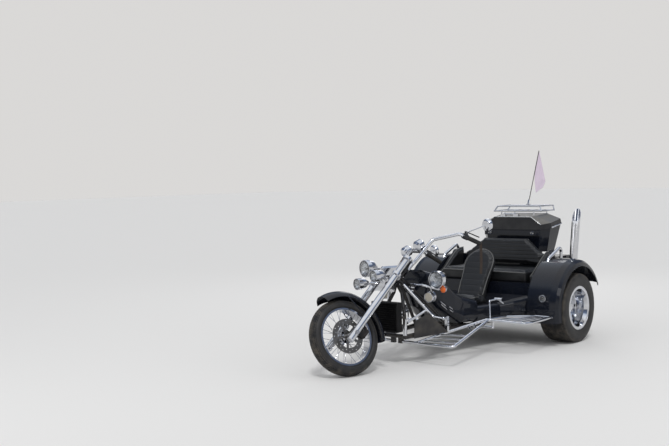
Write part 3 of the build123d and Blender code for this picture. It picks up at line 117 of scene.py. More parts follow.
# %% Shader maths
class Wire:
    """A number inside a node tree, as a socket that +, - and * work on."""

    def __init__(self, trunk, socket):
        self.trunk = trunk
        self.socket = socket

    def maths(self, operation, first, second):
        return self.trunk.node("ShaderNodeMath", {"operation": operation}, {0: first, 1: second})

    def __add__(self, other):
        return self.maths("ADD", self, other)

    def __radd__(self, other):
        return self.maths("ADD", other, self)

    def __sub__(self, other):
        return self.maths("SUBTRACT", self, other)

    def __rsub__(self, other):
        return self.maths("SUBTRACT", other, self)

    def __mul__(self, other):
        return self.maths("MULTIPLY", self, other)

    def __rmul__(self, other):
        return self.maths("MULTIPLY", other, self)


class NodeTree:
    """A tree of nodes and one method that adds any node, its settings before its sockets."""

    def __init__(self, tree):
        self.tree = tree

    def node(self, kind, settings, sockets, out=0):
        made = self.tree.nodes.new(kind)
        for name, value in settings.items():
            if name == "stops":
                ramp = made.color_ramp
                while len(ramp.elements) < len(value):
                    ramp.elements.new(0.5)
                for element, (position, colour) in zip(ramp.elements, value):
                    element.position = position
                    element.color = (*colour, 1.0)
            else:
                setattr(made, name, value)
        for name, value in sockets.items():
            if isinstance(value, Wire):
                self.tree.links.new(value.socket, made.inputs[name])
            elif value is not None:
                made.inputs[name].default_value = value
        return Wire(self, made.outputs[out])

    def upward(self, vector):
        """The Z part of a vector."""
        return self.node("ShaderNodeSeparateXYZ", {}, {0: vector}, "Z")


class Finish(NodeTree):
    """A material with its main shader."""

    def __init__(self, name, **constants):
        self.material = bpy.data.materials.new(name)
        self.material.use_nodes = True
        super().__init__(self.material.node_tree)
        self.shader = self.tree.nodes["Principled BSDF"]
        self.place = self.node("ShaderNodeTexCoord", {}, {}, "Object")
        for socket, value in constants.items():
            self.shader.inputs[socket.replace("_", " ")].default_value = value

    def noise(self, scale, detail=3.0, stretch=(1, 1, 1)):
        place = self.place
        if stretch != (1, 1, 1):
            place = self.node("ShaderNodeMapping", {}, {"Vector": place, "Scale": stretch})
        sockets = {"Vector": place, "Scale": scale, "Detail": detail}
        return self.node("ShaderNodeTexNoise", {}, sockets, "Fac")

    def band(self, value, start, end):
        """0 below start and 1 above end."""
        return self.node("ShaderNodeMapRange", {"interpolation_type": "SMOOTHSTEP"},
                         {"Value": value, "From Min": start, "From Max": end})

    def mix(self, share, first, second):
        first = (*first, 1.0) if isinstance(first, tuple) else first
        second = (*second, 1.0) if isinstance(second, tuple) else second
        return self.node("ShaderNodeMix", {"data_type": "RGBA"}, {"Factor": share, 6: first, 7: second}, 2)

    def bump(self, height, distance):
        sockets = {"Height": height, "Distance": distance, "Strength": 1.0}
        self.set("Normal", self.node("ShaderNodeBump", {}, sockets, "Normal"))

    def set(self, socket, value):
        self.tree.links.new(value.socket, self.shader.inputs[socket])


print("shader maths ready")

# %% [markdown]
# The trike's paint is a deep blue-black under clear lacquer. Real lacquer is never a
# perfect mirror: it has a slow waviness, and road dust settles on it, most of all low
# down and on faces that look up. So the colour lifts a little where a soft noise says
# dust, and the same noise makes that place rougher.


# %% Paint, metal and plastic
ROAD_DUST = (0.16, 0.14, 0.115)


def dusty(finish, colour, roughness, amount, scale=7.0, settled=0.0, dust=ROAD_DUST):
    """Colour and roughness that drift between clean and dusty, more of it low down and on top."""
    cloud = finish.noise(scale, 5.0)
    low_down = 1.0 - finish.band(finish.upward(finish.place), 0.1, 0.9)
    share = finish.band(cloud, 0.35, 0.8) * (low_down * 0.7 + 0.3) * amount
    if settled:
        facing_up = finish.upward(finish.node("ShaderNodeNewGeometry", {}, {}, "Normal"))
        fine = finish.noise(90.0, 4.0)
        share = share + finish.band(facing_up, 0.2, 0.85) * (fine * 0.5 + 0.75) * settled
    finish.set("Base Color", finish.mix(share, colour, dust))
    finish.set("Roughness", share * 0.35 + roughness)


def lacquer(name, colour, amount=0.05, settled=0.04, dust=ROAD_DUST):
    finish = Finish(name, Coat_Weight=0.5, Coat_Roughness=0.03, Specular_IOR_Level=0.12)
    dusty(finish, colour, 0.2, amount, settled=settled, dust=dust)
    finish.bump(finish.noise(38.0, 1.0), 0.0006)
    return finish.material


def bright_metal(name, colour, roughness, wear=0.12):
    """Plated or polished metal with wiped smears and a few dull spots."""
    finish = Finish(name, Metallic=1.0)
    smear = finish.band(finish.noise(9.0, 6.0, (1.0, 1.0, 2.6)), 0.35, 0.75)
    dull = tuple(part * 0.72 for part in colour)
    finish.set("Base Color", finish.mix(smear * 0.5, colour, dull))
    finish.set("Roughness", smear * wear + roughness)
    finish.bump(finish.noise(60.0, 2.0), 0.0002)
    return finish.material


def rough_metal(name, colour, roughness):
    finish = Finish(name, Metallic=0.85)
    sand = finish.noise(220.0, 3.0)
    stain = finish.band(finish.noise(11.0, 4.0), 0.4, 0.75)
    finish.set("Base Color", finish.mix(stain * 0.6, colour, tuple(part * 0.55 for part in colour)))
    finish.set("Roughness", stain * 0.2 + roughness)
    finish.bump(sand, 0.0006)
    return finish.material


def moulded(name, colour, roughness, grain=420.0, depth=0.0004, amount=0.4):
    """Plastic or rubber with a fine moulded grain."""
    finish = Finish(name, Specular_IOR_Level=0.4)
    dusty(finish, colour, roughness, amount, 9.0)
    finish.bump(finish.noise(grain, 2.0), depth)
    return finish.material


BODY_BLACK = (0.005, 0.007, 0.013)

paint = lacquer("paint_black", BODY_BLACK)
lid_paint = lacquer("paint_dusty_roof", (0.009, 0.010, 0.013), 0.25, 0.7, (0.20, 0.195, 0.18))
frame_paint = lacquer("paint_frame", (0.010, 0.010, 0.012), 0.35)
chrome = bright_metal("chrome", (0.66, 0.67, 0.70), 0.06)
steel = bright_metal("steel_bright", (0.58, 0.58, 0.59), 0.2)
iron = rough_metal("iron_cast", (0.075, 0.072, 0.068), 0.6)
disc_steel = bright_metal("steel_disc", (0.15, 0.145, 0.14), 0.32)
core_black = rough_metal("radiator_black", (0.018, 0.018, 0.019), 0.55)
plastic = moulded("plastic_black", (0.014, 0.014, 0.016), 0.38)
grip_rubber = moulded("rubber_grip", (0.012, 0.012, 0.012), 0.65, 300.0, 0.0008)
print("finishes", len(bpy.data.materials))

# %% [markdown]
# Rubber greys where it flexes and browns where it meets the road. A number on each
# point of the tyre, written further down, says how near it is to the tread, so the
# tread takes the dust and the sidewall keeps a soft sheen.


# %% Tyre rubber
def tyre_rubber(name):
    """Rubber whose dust follows the attribute named tread."""
    finish = Finish(name, Specular_IOR_Level=0.35)
    tread = finish.node("ShaderNodeAttribute", {"attribute_name": "tread"}, {}, "Fac")
    cloud = finish.band(finish.noise(16.0, 5.0), 0.3, 0.75)
    share = cloud * (tread * 0.45 + 0.1)
    finish.set("Base Color", finish.mix(share, (0.017, 0.017, 0.018), (0.15, 0.13, 0.105)))
    finish.set("Roughness", share * 0.3 + 0.55)
    finish.bump(finish.noise(240.0, 2.0), 0.0005)
    return finish.material


rubber = tyre_rubber("rubber_tyre")
print("rubber", rubber.name)

# %% [markdown]
# Seat vinyl has a pebbled grain made of small closed cells, so a Voronoi pattern
# suits it. The crowns of the cushions are rubbed smoother than the hollows.


# %% Vinyl
def vinyl(name, colour):
    finish = Finish(name, Specular_IOR_Level=0.4)
    pebble = finish.node("ShaderNodeTexVoronoi", {"feature": "DISTANCE_TO_EDGE"},
                         {"Vector": finish.place, "Scale": 330.0}, "Distance")
    rub = finish.band(finish.noise(5.0, 4.0), 0.35, 0.7)
    finish.set("Base Color", finish.mix(rub * 0.5, colour, tuple(part * 1.8 + 0.002 for part in colour)))
    finish.set("Roughness", 0.44 - rub * 0.14)
    finish.bump(pebble * 0.6 + finish.noise(45.0, 3.0) * 0.4, 0.0011)
    return finish.material


seat_vinyl = vinyl("vinyl_black", (0.0095, 0.0100, 0.0112))
print("vinyl", seat_vinyl.name)

# %% [markdown]
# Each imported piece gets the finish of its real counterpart. The record's own slots
# already sort the nodes, so most of them follow from the slot, and three have their own.

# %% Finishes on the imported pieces
SLOT_FINISH = {
    "tyre_rubber": rubber, "grip_rubber": grip_rubber, "chrome": chrome, "steel": steel,
    "aluminium": core_black, "cast_iron": iron, "black_paint": paint, "frame_paint": frame_paint,
    "black_plastic": plastic, "black_vinyl": seat_vinyl, "red_lens": plastic, "flag_cloth": plastic,
}
NODE_FINISH = {"trunk_lid": lid_paint, "front_brake_disc": disc_steel, "flag_mast": iron}
for name, node in nodes.items():
    kind = node.data.materials[0].name.split(".")[0] if node.data.materials else "black_paint"
    finish = NODE_FINISH.get(name, SLOT_FINISH.get(kind, plastic))
    if not node.data.materials:
        node.data.materials.append(finish)
    for index in range(len(node.data.materials)):
        node.data.materials[index] = finish
print("packed pieces finished", len(nodes))

# %% [markdown]
# Most fittings on a vehicle are turned, pressed or bent. Three helpers cover them: an
# outline spun about the X axis, a box with softened edges, and a tube on a smooth
# curve. Sizes are in millimetres, as on the drawings, and a placing matrix then moves a
# shape to its seat, so every object itself stays at the origin. Spun shapes look along X,
# and three quarter turns stand them upright or face them to the front or the rear.


# %% Shapes
WELD = 1e-6


def lathe(outline, steps=64, start=0.0, arc=360.0):
    """An outline of (x, radius) spun about the X axis."""
    shape = bmesh.new()
    points = [shape.verts.new((x * MM, 0, r * MM)) for x, r in outline]
    for first, second in zip(points, points[1:]):
        shape.edges.new((first, second))
    turn = Matrix.Rotation(math.radians(start), 3, "X")
    bmesh.ops.rotate(shape, verts=shape.verts, matrix=turn)
    bmesh.ops.spin(shape, geom=shape.verts[:] + shape.edges[:], axis=(1, 0, 0), cent=(0, 0, 0),
                   angle=math.radians(arc), steps=steps, use_merge=arc == 360.0, use_duplicate=False)
    bmesh.ops.remove_doubles(shape, verts=shape.verts, dist=WELD)
    if arc < 360.0:
        bmesh.ops.holes_fill(shape, edges=shape.edges, sides=0)
    bmesh.ops.recalc_face_normals(shape, faces=shape.faces)
    return shape


def slab(low, high, edge=0.0):
    """A box between two corners, its edges rounded."""
    shape = bmesh.new()
    bmesh.ops.create_cube(shape, size=1.0)
    size = [(b - a) * MM for a, b in zip(low, high)]
    middle = Vector([(a + b) / 2 * MM for a, b in zip(low, high)])
    bmesh.ops.scale(shape, vec=size, verts=shape.verts)
    bmesh.ops.translate(shape, vec=middle, verts=shape.verts)
    if edge:
        bmesh.ops.bevel(shape, geom=shape.edges[:], offset=edge * MM, segments=2, profile=0.5,
                        affect="EDGES", material=-1)
    return shape


def drum(radius, length, sides=32, edge=0.0):
    """A round or many-sided bar about the Z axis, standing on z = 0."""
    shape = bmesh.new()
    bmesh.ops.create_cone(shape, cap_ends=True, segments=sides, radius1=radius * MM, radius2=radius * MM,
                          depth=length * MM, matrix=Matrix.Translation((0, 0, length / 2 * MM)))
    if edge:
        rims = [e for e in shape.edges if abs(e.verts[0].co.z - e.verts[1].co.z) < WELD]
        bmesh.ops.bevel(shape, geom=rims, offset=edge * MM, segments=2, profile=0.5,
                        affect="EDGES", material=-1)
    return shape


def tube(points, radius):
    """A round tube along a smooth curve that the points pull at, in metres."""
    curve = bpy.data.curves.new("route", "CURVE")
    curve.dimensions = "3D"
    curve.bevel_depth = radius * MM
    curve.bevel_resolution = 4
    curve.use_fill_caps = True
    line = curve.splines.new("NURBS")
    line.points.add(len(points) - 1)
    for spot, point in zip(line.points, points):
        spot.co = (*point, 1.0)
    line.order_u = 3
    line.use_endpoint_u = True
    line.resolution_u = 6
    holder = bpy.data.objects.new("route", curve)
    mesh = bpy.data.meshes.new_from_object(holder)
    shape = bmesh.new()
    shape.from_mesh(mesh)
    bpy.data.objects.remove(holder)
    bpy.data.curves.remove(curve)
    bpy.data.meshes.remove(mesh)
    bmesh.ops.remove_doubles(shape, verts=shape.verts, dist=WELD)
    return shape


def placed(shape, matrix):
    """The shape moved by a matrix; one that mirrors turns its faces back outwards."""
    bmesh.ops.transform(shape, matrix=matrix, verts=shape.verts)
    if matrix.determinant() < 0:
        bmesh.ops.reverse_faces(shape, faces=shape.faces)
    return shape


def joined(*shapes):
    """Several shapes as one."""
    whole = shapes[0]
    for shape in shapes[1:]:
        carrier = bpy.data.meshes.new("carrier")
        shape.to_mesh(carrier)
        shape.free()
        whole.from_mesh(carrier)
        bpy.data.meshes.remove(carrier)
    return whole


def at(x, y, z):
    return Matrix.Translation(Vector((x, y, z)) * MM)


def facing(direction):
    """Turns a shape about Z so that its top looks along a direction."""
    return Vector(direction).to_track_quat("Z", "Y").to_matrix().to_4x4()


SHARP = math.radians(35.0)
STAND = Matrix.Rotation(math.radians(-90), 4, "Y")
FORWARDS = Matrix.Rotation(math.radians(-90), 4, "Z")
REARWARDS = Matrix.Rotation(math.radians(90), 4, "Z")


def wire_outline(x, radius, thick):
    """A round wire's outline for the lathe, its middle at x and at a radius."""
    angles = [math.radians(degrees) for degrees in range(0, 361, 45)]
    return [(x + thick * math.cos(a), radius + thick * math.sin(a)) for a in angles]


def piece(name, shape, body, finish, slot, stands_for=()):
    """A finished piece: smooth but for its sharp corners, riding on a body."""
    mesh = bpy.data.meshes.new(name)
    shape.to_mesh(mesh)
    shape.free()
    mesh.shade_smooth()
    mesh.set_sharp_from_angle(angle=SHARP)
    made = bpy.data.objects.new(name, mesh)
    bpy.context.scene.collection.objects.link(made)
    made.data.materials.append(finish)
    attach(made, body)
    if stands_for:
        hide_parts(*stands_for)
    return made


print("shapes ready")

# %% [markdown]
# A tyre is a lathe shape whose tread is cut after spinning. The tread's faces are first
# turned a little below full height, then each one is inset and lifted, which leaves a
# block with sloped sides and a groove all round it. Shearing the rows against each
# other along the wheel gives the blocks their arrow shape.


# %% Tyres
def tyre(outline, steps, tread_from, depth, groove, shear):
    """A tyre about the X axis with raised blocks wherever the outline passes tread_from."""
    shape = lathe(outline, steps)
    for vert in shape.verts:
        radius = math.hypot(vert.co.y, vert.co.z)
        turn = shear * abs(vert.co.x) / radius if radius > tread_from * MM - WELD else 0.0
        vert.co = Matrix.Rotation(turn, 3, "X") @ vert.co
    blocks = [face for face in shape.faces
              if min(math.hypot(v.co.y, v.co.z) for v in face.verts) > tread_from * MM - WELD]
    bmesh.ops.inset_individual(shape, faces=blocks, thickness=groove * MM, depth=depth * MM,
                               use_even_offset=True)
    return shape, len(blocks)


def mark_tread(made, matrix, inner, outer):
    """Writes how far out each point lies, so that the rubber knows its tread."""
    layer = made.data.attributes.new("tread", "FLOAT", "POINT")
    back = matrix.inverted()
    for vert, value in zip(made.data.vertices, layer.data):
        spot = back @ vert.co
        value.value = min(1.0, max(0.0, (math.hypot(spot.y, spot.z) / MM - inner) / (outer - inner)))


def both_halves(left):
    """A tyre's closed outline from its left half, which is listed from the bead up to the crown."""
    return left + [(-x, r) for x, r in reversed(left)] + left[:1]


REAR_TYRE = both_halves([
    (-122, 192), (-122, 206), (-133, 216), (-138, 240), (-140, 268), (-139, 292), (-134, 308), (-127, 318),
    (-112, 323.5), (-86, 325), (-52, 325), (-18, 325),
])
FRONT_TYRE = both_halves([
    (-43, 232), (-43, 245), (-55, 249), (-62, 258), (-64.5, 270), (-62, 282), (-53, 295), (-38, 305.5),
    (-21, 312.5), (-7, 315.5),
])
for side, matrix in (("left", LEFT_WHEEL), ("right", RIGHT_WHEEL)):
    shape, count = tyre(REAR_TYRE, 96, 317.9, 6.0, 2.6, 0.16)
    made = piece(f"rear_tyre_{side}_tread", placed(shape, matrix), f"rear_wheel_{side}", rubber,
                 "tyre_rubber", [f"rear_tyre_{side}"])
    mark_tread(made, matrix, 300.0, 326.0)
    print(made.name, "tread blocks", count, "faces", len(made.data.polygons))
shape, count = tyre(FRONT_TYRE, 84, 294.9, 4.5, 1.7, 0.5)
made = piece("front_tyre_tread", placed(shape, FRONT_WHEEL), "front_wheel", rubber, "tyre_rubber",
             ["front_tyre"])
mark_tread(made, FRONT_WHEEL, 285.0, 315.0)
print(made.name, "tread blocks", count, "faces", len(made.data.polygons))

# %% [markdown]
# The rear wheels carry five nuts on their discs and a fine bead on the rim's lip. The
# nuts are six-sided bars with bevelled rims, set in a ring.

# %% Wheel nuts
NUT_RING = 84.0
NUT_SEAT = 9.3
NUT_COUNT = 5
NUT_START = 20.0
for side, matrix in (("left", LEFT_WHEEL), ("right", RIGHT_WHEEL)):
    nuts = []
    for index in range(NUT_COUNT):
        turn = Matrix.Rotation(math.radians(360 / NUT_COUNT * index + NUT_START), 4, "X")
        nut = joined(drum(11.0, 16.0, 6, 2.0), drum(15.0, 3.0, 24, 0.8))
        nuts.append(placed(nut, matrix @ turn @ at(NUT_SEAT, 0, NUT_RING) @ facing((1, 0, 0))))
    bead = lathe([(127.0, 205), (129.5, 206.5), (129.5, 209), (127, 210.5), (124, 209), (127.0, 205)], 96)
    made = piece(f"wheel_nuts_{side}", joined(placed(bead, matrix), *nuts), f"rear_wheel_{side}", chrome,
                 "chrome")
    print(made.name, "faces", len(made.data.polygons))

# %% [markdown]
# A lamp's glass is a shallow dome that bulges out of a chrome ring. Clear headlamps
# have upright flutes in the glass, and the small ones are amber or red. The glass is a
# lathe dome with an even wall, because a single sheet would bend light wrongly.


# %% Lamps
def glass(name, colour, flutes=0.0, roughness=0.03, clear=0.95):
    finish = Finish(name, Transmission_Weight=clear, IOR=1.45, Coat_Weight=0.3)
    tint = finish.noise(24.0, 2.0)
    finish.set("Base Color", finish.mix(tint * 0.4, colour, tuple(part * 0.85 for part in colour)))
    finish.set("Roughness", tint * 0.05 + roughness)
    if flutes:
        ridges = finish.node("ShaderNodeTexWave", {"wave_type": "BANDS", "bands_direction": "X"},
                             {"Vector": finish.place, "Scale": flutes, "Distortion": 0.0}, "Fac")
        finish.bump(ridges, 0.0015)
    return finish.material


clear_glass = glass("glass_clear", (0.93, 0.95, 0.96), 26.0)
amber_glass = glass("glass_amber", (0.93, 0.17, 0.012), 40.0, 0.12, 0.25)
red_glass = glass("glass_red", (0.55, 0.015, 0.015), 40.0, 0.12, 0.35)
GLASSES = {"clear": clear_glass, "amber": amber_glass, "red": red_glass}


def dome(radius, bulge, wall=2.0):
    """A round glass that looks along +X."""
    outer = [(bulge * (1 - share * share), radius * share) for share in (0.0, 0.3, 0.55, 0.78, 0.94, 1.0)]
    inner = [(x - wall, max(0.0, r - wall * 0.3)) for x, r in reversed(outer)]
    return lathe(outer + inner, 40)


def ring(radius, thick):
    """A bezel about X."""
    return lathe(wire_outline(0.0, radius, thick), 56)


LENS_SHAPE = {"clear": (0.87, 0.16), "amber": (1.08, 0.9)}
RAKE_LEVEL = Matrix.Rotation(rake, 4, "X")
LAMP_LIST = [
    ("headlamp_fork", FORK @ at(0, -254, 687) @ RAKE_LEVEL, 74.0, 120.0, "fork", "clear"),
    ("spot_left", FORK @ at(130, -190, 605) @ RAKE_LEVEL, 50.0, 118.0, "fork", "clear"),
    ("spot_right", FORK @ at(-130, -190, 605) @ RAKE_LEVEL, 50.0, 118.0, "fork", "clear"),
    ("headlamp_left", CHASSIS @ at(310, 912.5, 722), 76.0, 125.0, "chassis", "clear"),
    ("headlamp_right", CHASSIS @ at(-310, 912.5, 722), 76.0, 125.0, "chassis", "clear"),
    ("indicator_left", CHASSIS @ at(345, 935, 635), 27.0, 60.0, "chassis", "amber"),
    ("indicator_right", CHASSIS @ at(-345, 935, 635), 27.0, 60.0, "chassis", "amber"),
]
for name, place, radius, length, body, kind in LAMP_LIST:
    front = place @ at(0, -length / 2, 0) @ FORWARDS
    width, bulge = LENS_SHAPE[kind]
    lens_shape = placed(dome(radius * width, radius * bulge), front @ at(1.0, 0, 0))
    piece(f"{name}_glass", lens_shape, body, GLASSES[kind], "chrome")
    piece(f"{name}_bezel", placed(ring(radius - 3.0, 4.2), front), body, chrome, "chrome")
    if kind == "clear":
        gasket = placed(ring(radius * 0.885, 2.4), front @ at(2.0, 0, 0))
        piece(f"{name}_gasket", gasket, body, plastic, "black_plastic")
        bulb = lathe([(0, 0), (6, 4), (9, 9), (3, 12), (-6, 10), (-14, 6), (-14, 0)], 20)
        piece(f"{name}_bulb", placed(bulb, front @ at(-length * 0.1, 0, 0)), body, steel, "steel")
print("lamps dressed", len(LAMP_LIST))

# %% [markdown]
# Small round lamps sit on the fenders and on the band across the trunk, and four red
# ones close the tail. They are domes again, each in a thin ring.

# %% Small lamps
SIDES = (("left", 1), ("right", -1))
SMALL_BULGE = 0.28
SMALL_LAMPS = [
    ("fender", 722.0, WHEELBASE - 474, 462.0, 29.0, "clear", FORWARDS),
    ("trunk", 245.0, 2650.0, 1021.0, 13.0, "clear", FORWARDS),
    ("tail_outer", 440.0, WHEELBASE + 532, 600.0, 43.0, "red", REARWARDS),
    ("tail_inner", 334.4, WHEELBASE + 532, 600.0, 43.0, "red", REARWARDS),
]
for name, x, y, z, radius, kind, way in SMALL_LAMPS:
    for side, sign in SIDES:
        front = CHASSIS @ at(sign * x, y, z) @ way
        lens_shape = placed(dome(radius, radius * SMALL_BULGE), front @ at(1.0, 0, 0))
        piece(f"{name}_glass_{side}", lens_shape, "chassis", GLASSES[kind],
              "red_lens" if kind == "red" else "chrome")
        piece(f"{name}_ring_{side}", placed(ring(radius + 2.0, 2.6), front), "chassis", chrome, "chrome")
print("small lamps", 2 * len(SMALL_LAMPS))

# %% [markdown]
# Mirror glass is nearly flat and faces the rider; the gauges have pale dials with plain
# numbers left off, a black needle and a domed glass over them.

# %% Mirrors and gauges
mirror_glass = bright_metal("mirror_glass", (0.85, 0.87, 0.9), 0.02, 0.02)
dial_white = moulded("dial_white", (0.62, 0.62, 0.58), 0.5, 200.0, 0.0001, 0.1)
BAR_FOOT = 1000.0
TOWARDS_THE_SEAT = Vector((0, math.cos(rake), math.sin(rake)))
for side, sign in SIDES:
    spot = FORK @ at(sign * 400.0, 270.0, BAR_FOOT + 655.0) @ facing(TOWARDS_THE_SEAT) @ at(0, 0, 17.0)
    disc = lathe([(0.0, 0.0), (0.0, 52.0), (-1.5, 54.0), (-3.0, 54.0), (-3.0, 0.0)], 48)
    disc = placed(disc, spot @ STAND @ at(2.0, 0, 0))
    piece(f"mirror_glass_{side}", disc, "fork", mirror_glass, "chrome")
    piece(f"mirror_rim_{side}", placed(ring(55.0, 2.6), spot @ STAND), "fork", chrome, "chrome")
DIAL_LOOK = Vector((0, 0.35, 0.94))
TICK_ANGLES = range(-125, 126, 25)
NEEDLE_ANGLE = 118


def about_z(shape, degrees):
    return placed(shape, Matrix.Rotation(math.radians(degrees), 4, "Z"))


for side, sign in SIDES:
    seat = FORK @ at(sign * 95.0, -47.0, BAR_FOOT + 165.0) @ facing(DIAL_LOOK) @ at(0, 0, 35.0)
    front = seat @ STAND
    dial = lathe([(0.6, 0.0), (0.6, 42.0), (-1.0, 42.5), (-1.0, 0.0)], 48)
    ticks = [about_z(slab((-0.8, 33.0, 0.5), (0.8, 39.5, 1.4)), angle) for angle in TICK_ANGLES]
    needle = about_z(slab((-1.2, -8.0, 1.2), (1.2, 30.0, 2.4), 0.3), NEEDLE_ANGLE)
    marks = joined(needle, drum(5.0, 3.4, 20, 0.6), *ticks)
    cover = placed(dome(44.0, 4.0, 1.2), front @ at(3.0, 0, 0))
    bezel = placed(ring(45.5, 3.0), front @ at(2.0, 0, 0))
    piece(f"gauge_dial_{side}", placed(dial, front), "fork", dial_white, "chrome")
    piece(f"gauge_marks_{side}", placed(marks, seat), "fork", plastic, "black_plastic")
    piece(f"gauge_glass_{side}", cover, "fork", clear_glass, "chrome")
    piece(f"gauge_bezel_{side}", bezel, "fork", chrome, "chrome")
print("mirrors and gauges done")

# %% [markdown]
# A cushion is a closed skin over foam that pushes outwards. The plain block from the
# drawings is drawn in a little, cut into even small faces by the voxel remesh, and then
# inflated by the cloth simulation with a gentle pressure. No point may travel further
# than a cap, so the pad keeps its place, and the face that it rests on stays flat.


# %% Padding
NODE_WELD = 1e-5
AIR_PRESSURE = 4.0
AIR_FRAMES = 20
SEAM_WIDTH = 3.5


def settle(made):
    """Applies the modifiers of an object to its mesh."""
    graph = bpy.context.evaluated_depsgraph_get()
    shaped = bpy.data.meshes.new_from_object(made.evaluated_get(graph))
    made.modifiers.clear()
    made.data = shaped
    return shaped


def foam(name, node, voxel, cap, draw_in, side=0, rests=True):
    """A padded piece that stands for a plain block, or for one half of a node of two."""
    shape = bmesh.new()
    shape.from_mesh(nodes[node].data)
    if side:
        other_half = [vert for vert in shape.verts if vert.co.x * side < 0]
        bmesh.ops.delete(shape, geom=other_half, context="VERTS")
    bmesh.ops.remove_doubles(shape, verts=shape.verts, dist=NODE_WELD)
    lows = Vector([min(vert.co[k] for vert in shape.verts) for k in range(3)])
    highs = Vector([max(vert.co[k] for vert in shape.verts) for k in range(3)])
    middle, size = (lows + highs) / 2, highs - lows
    bottom = lows.z
    keep = Vector([1 - 2 * draw_in * MM / part for part in size])
    for vert in shape.verts:
        vert.co = Vector([middle[k] + (vert.co[k] - middle[k]) * keep[k] for k in range(3)])
    if rests:
        drop = bottom - min(vert.co.z for vert in shape.verts)
        bmesh.ops.translate(shape, vec=(0, 0, drop), verts=shape.verts)
    mesh = bpy.data.meshes.new(name)
    shape.to_mesh(mesh)
    shape.free()
    made = bpy.data.objects.new(name, mesh)
    bpy.context.scene.collection.objects.link(made)
    even = made.modifiers.new("even", "REMESH")
    even.mode = "VOXEL"
    even.voxel_size = voxel * MM
    mesh = settle(made)
    start = [vert.co.copy() for vert in mesh.vertices]
    air = made.modifiers.new("air", "CLOTH")
    air.settings.use_pressure = True
    air.settings.uniform_pressure_force = AIR_PRESSURE
    air.settings.effector_weights.gravity = 0.0
    air.settings.quality = 4
    for count in range(1, AIR_FRAMES + 1):
        bpy.context.scene.frame_set(count)
    mesh = settle(made)
    bpy.context.scene.frame_set(1)
    for vert, origin in zip(mesh.vertices, start):
        move = vert.co - origin
        if move.length > cap * MM:
            move *= cap * MM / move.length
        if rests and origin.z < bottom + 2 * voxel * MM:
            move.z = 0.0
        vert.co = origin + move
    smooth = made.modifiers.new("smooth", "SUBSURF")
    smooth.levels = smooth.render_levels = 1
    mesh = settle(made)
    mesh.shade_smooth()
    made.data.materials.clear()
    made.data.materials.append(seat_vinyl)
    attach(made, "chassis")
    print(name, len(mesh.polygons), "faces")
    return made


def channels(made, depth, pitch, lean, limit):
    """Presses level sewn lines, one every pitch, into the front of a back that leans by an angle."""
    along = Vector((0, math.sin(lean), math.cos(lean)))
    facing_to = Vector((0, -math.cos(lean), math.sin(lean)))
    normals = [vert.normal.copy() for vert in made.data.vertices]
    for vert, normal in zip(made.data.vertices, normals):
        if normal.dot(facing_to) < limit:
            continue
        place = (vert.co.dot(along) / MM) % pitch
        off = min(place, pitch - place)
        dent = math.exp(-(off / SEAM_WIDTH) ** 2)
        roll = math.sin(math.pi * place / pitch)
        vert.co -= normal * (dent * depth - roll * depth * 0.35) * MM


def skin_of(made):
    shape = bmesh.new()
    shape.from_mesh(made.data)
    skin = BVHTree.FromBMesh(shape)
    shape.free()
    return skin


# The cords' pale grey is partly the trim's own colour and partly a painted highlight along the edges of
# the seats.
TRIM_AND_HIGHLIGHT_GREY = (0.13, 0.13, 0.128)
trim_and_highlight_vinyl = moulded("vinyl_trim_grey_painted_highlight", TRIM_AND_HIGHLIGHT_GREY, 0.35, 300.0, 0.0003, 0.3)
PIPING_STANDS_OUT = 0.7


def piping(name, made, points, radius):
    """A sewn cord of grey trim that lies on a pad's surface, sunk in a little; its grey is partly a
    painted highlight on the pad's edge.
    """
    tree = skin_of(made)
    seated = []
    for point in points:
        spot, normal, _, _ = tree.find_nearest(Vector(point))
        seated.append(spot + normal * radius * PIPING_STANDS_OUT * MM)
    return piece(name, tube(seated, radius), "chassis", trim_and_highlight_vinyl, "black_vinyl")


def mm_points(points, matrix=CHASSIS):
    return [matrix @ (Vector(point) * MM) for point in points]


print("padding ready")

# %% [markdown]
# The driver sits in a low bucket: a short cushion that slopes backwards, and a tall
# narrow back with a round head. Grey piping follows the edge of the back, and another
# line closes the front of the cushion. Their pale grey is partly trim and partly a
# painted highlight on those edges.

# %% Driver's seat
BACK_LEAN = math.radians(30.0)
BACK_WALL = 55.0
BACK_FRAME = CHASSIS @ at(0, 1838 + BACK_WALL, 410) @ Matrix.Rotation(math.pi / 2 - BACK_LEAN, 4, "X")
seat_cushion = foam("driver_cushion_padded", "driver_seat_cushion", 6.0, 24.0, 8.0)
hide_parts("driver_seat_cushion")
seat_back = foam("driver_back_padded", "driver_seat_back", 6.0, 22.0, 7.0, rests=False)
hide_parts("driver_seat_back")
channels(seat_back, 1.2, 62.0, BACK_LEAN, 0.8)
edge = [(-146, 40), (-158, 150), (-170, 270), (-174, 365), (-160, 440), (-122, 500), (-62, 530), (0, 537)]
edge += [(-x, y) for x, y in reversed(edge[:-1])]
route = mm_points([(x, y, BACK_WALL + 2) for x, y in edge], BACK_FRAME)
piping("driver_back_piping", seat_back, route, 4.5)
lip = [(-222, 1700, 492), (-222, 1600, 500), (-205, 1566, 496), (-100, 1560, 498), (0, 1559, 499)]
lip += [(-x, y, z) for x, y, z in reversed(lip[:-1])]
piping("driver_cushion_piping", seat_cushion, mm_points(lip), 4.5)

# %% [markdown]
# The passengers' bench is one wide cushion and a leaning back sewn in level channels,
# between two side bolsters with rounded fronts.

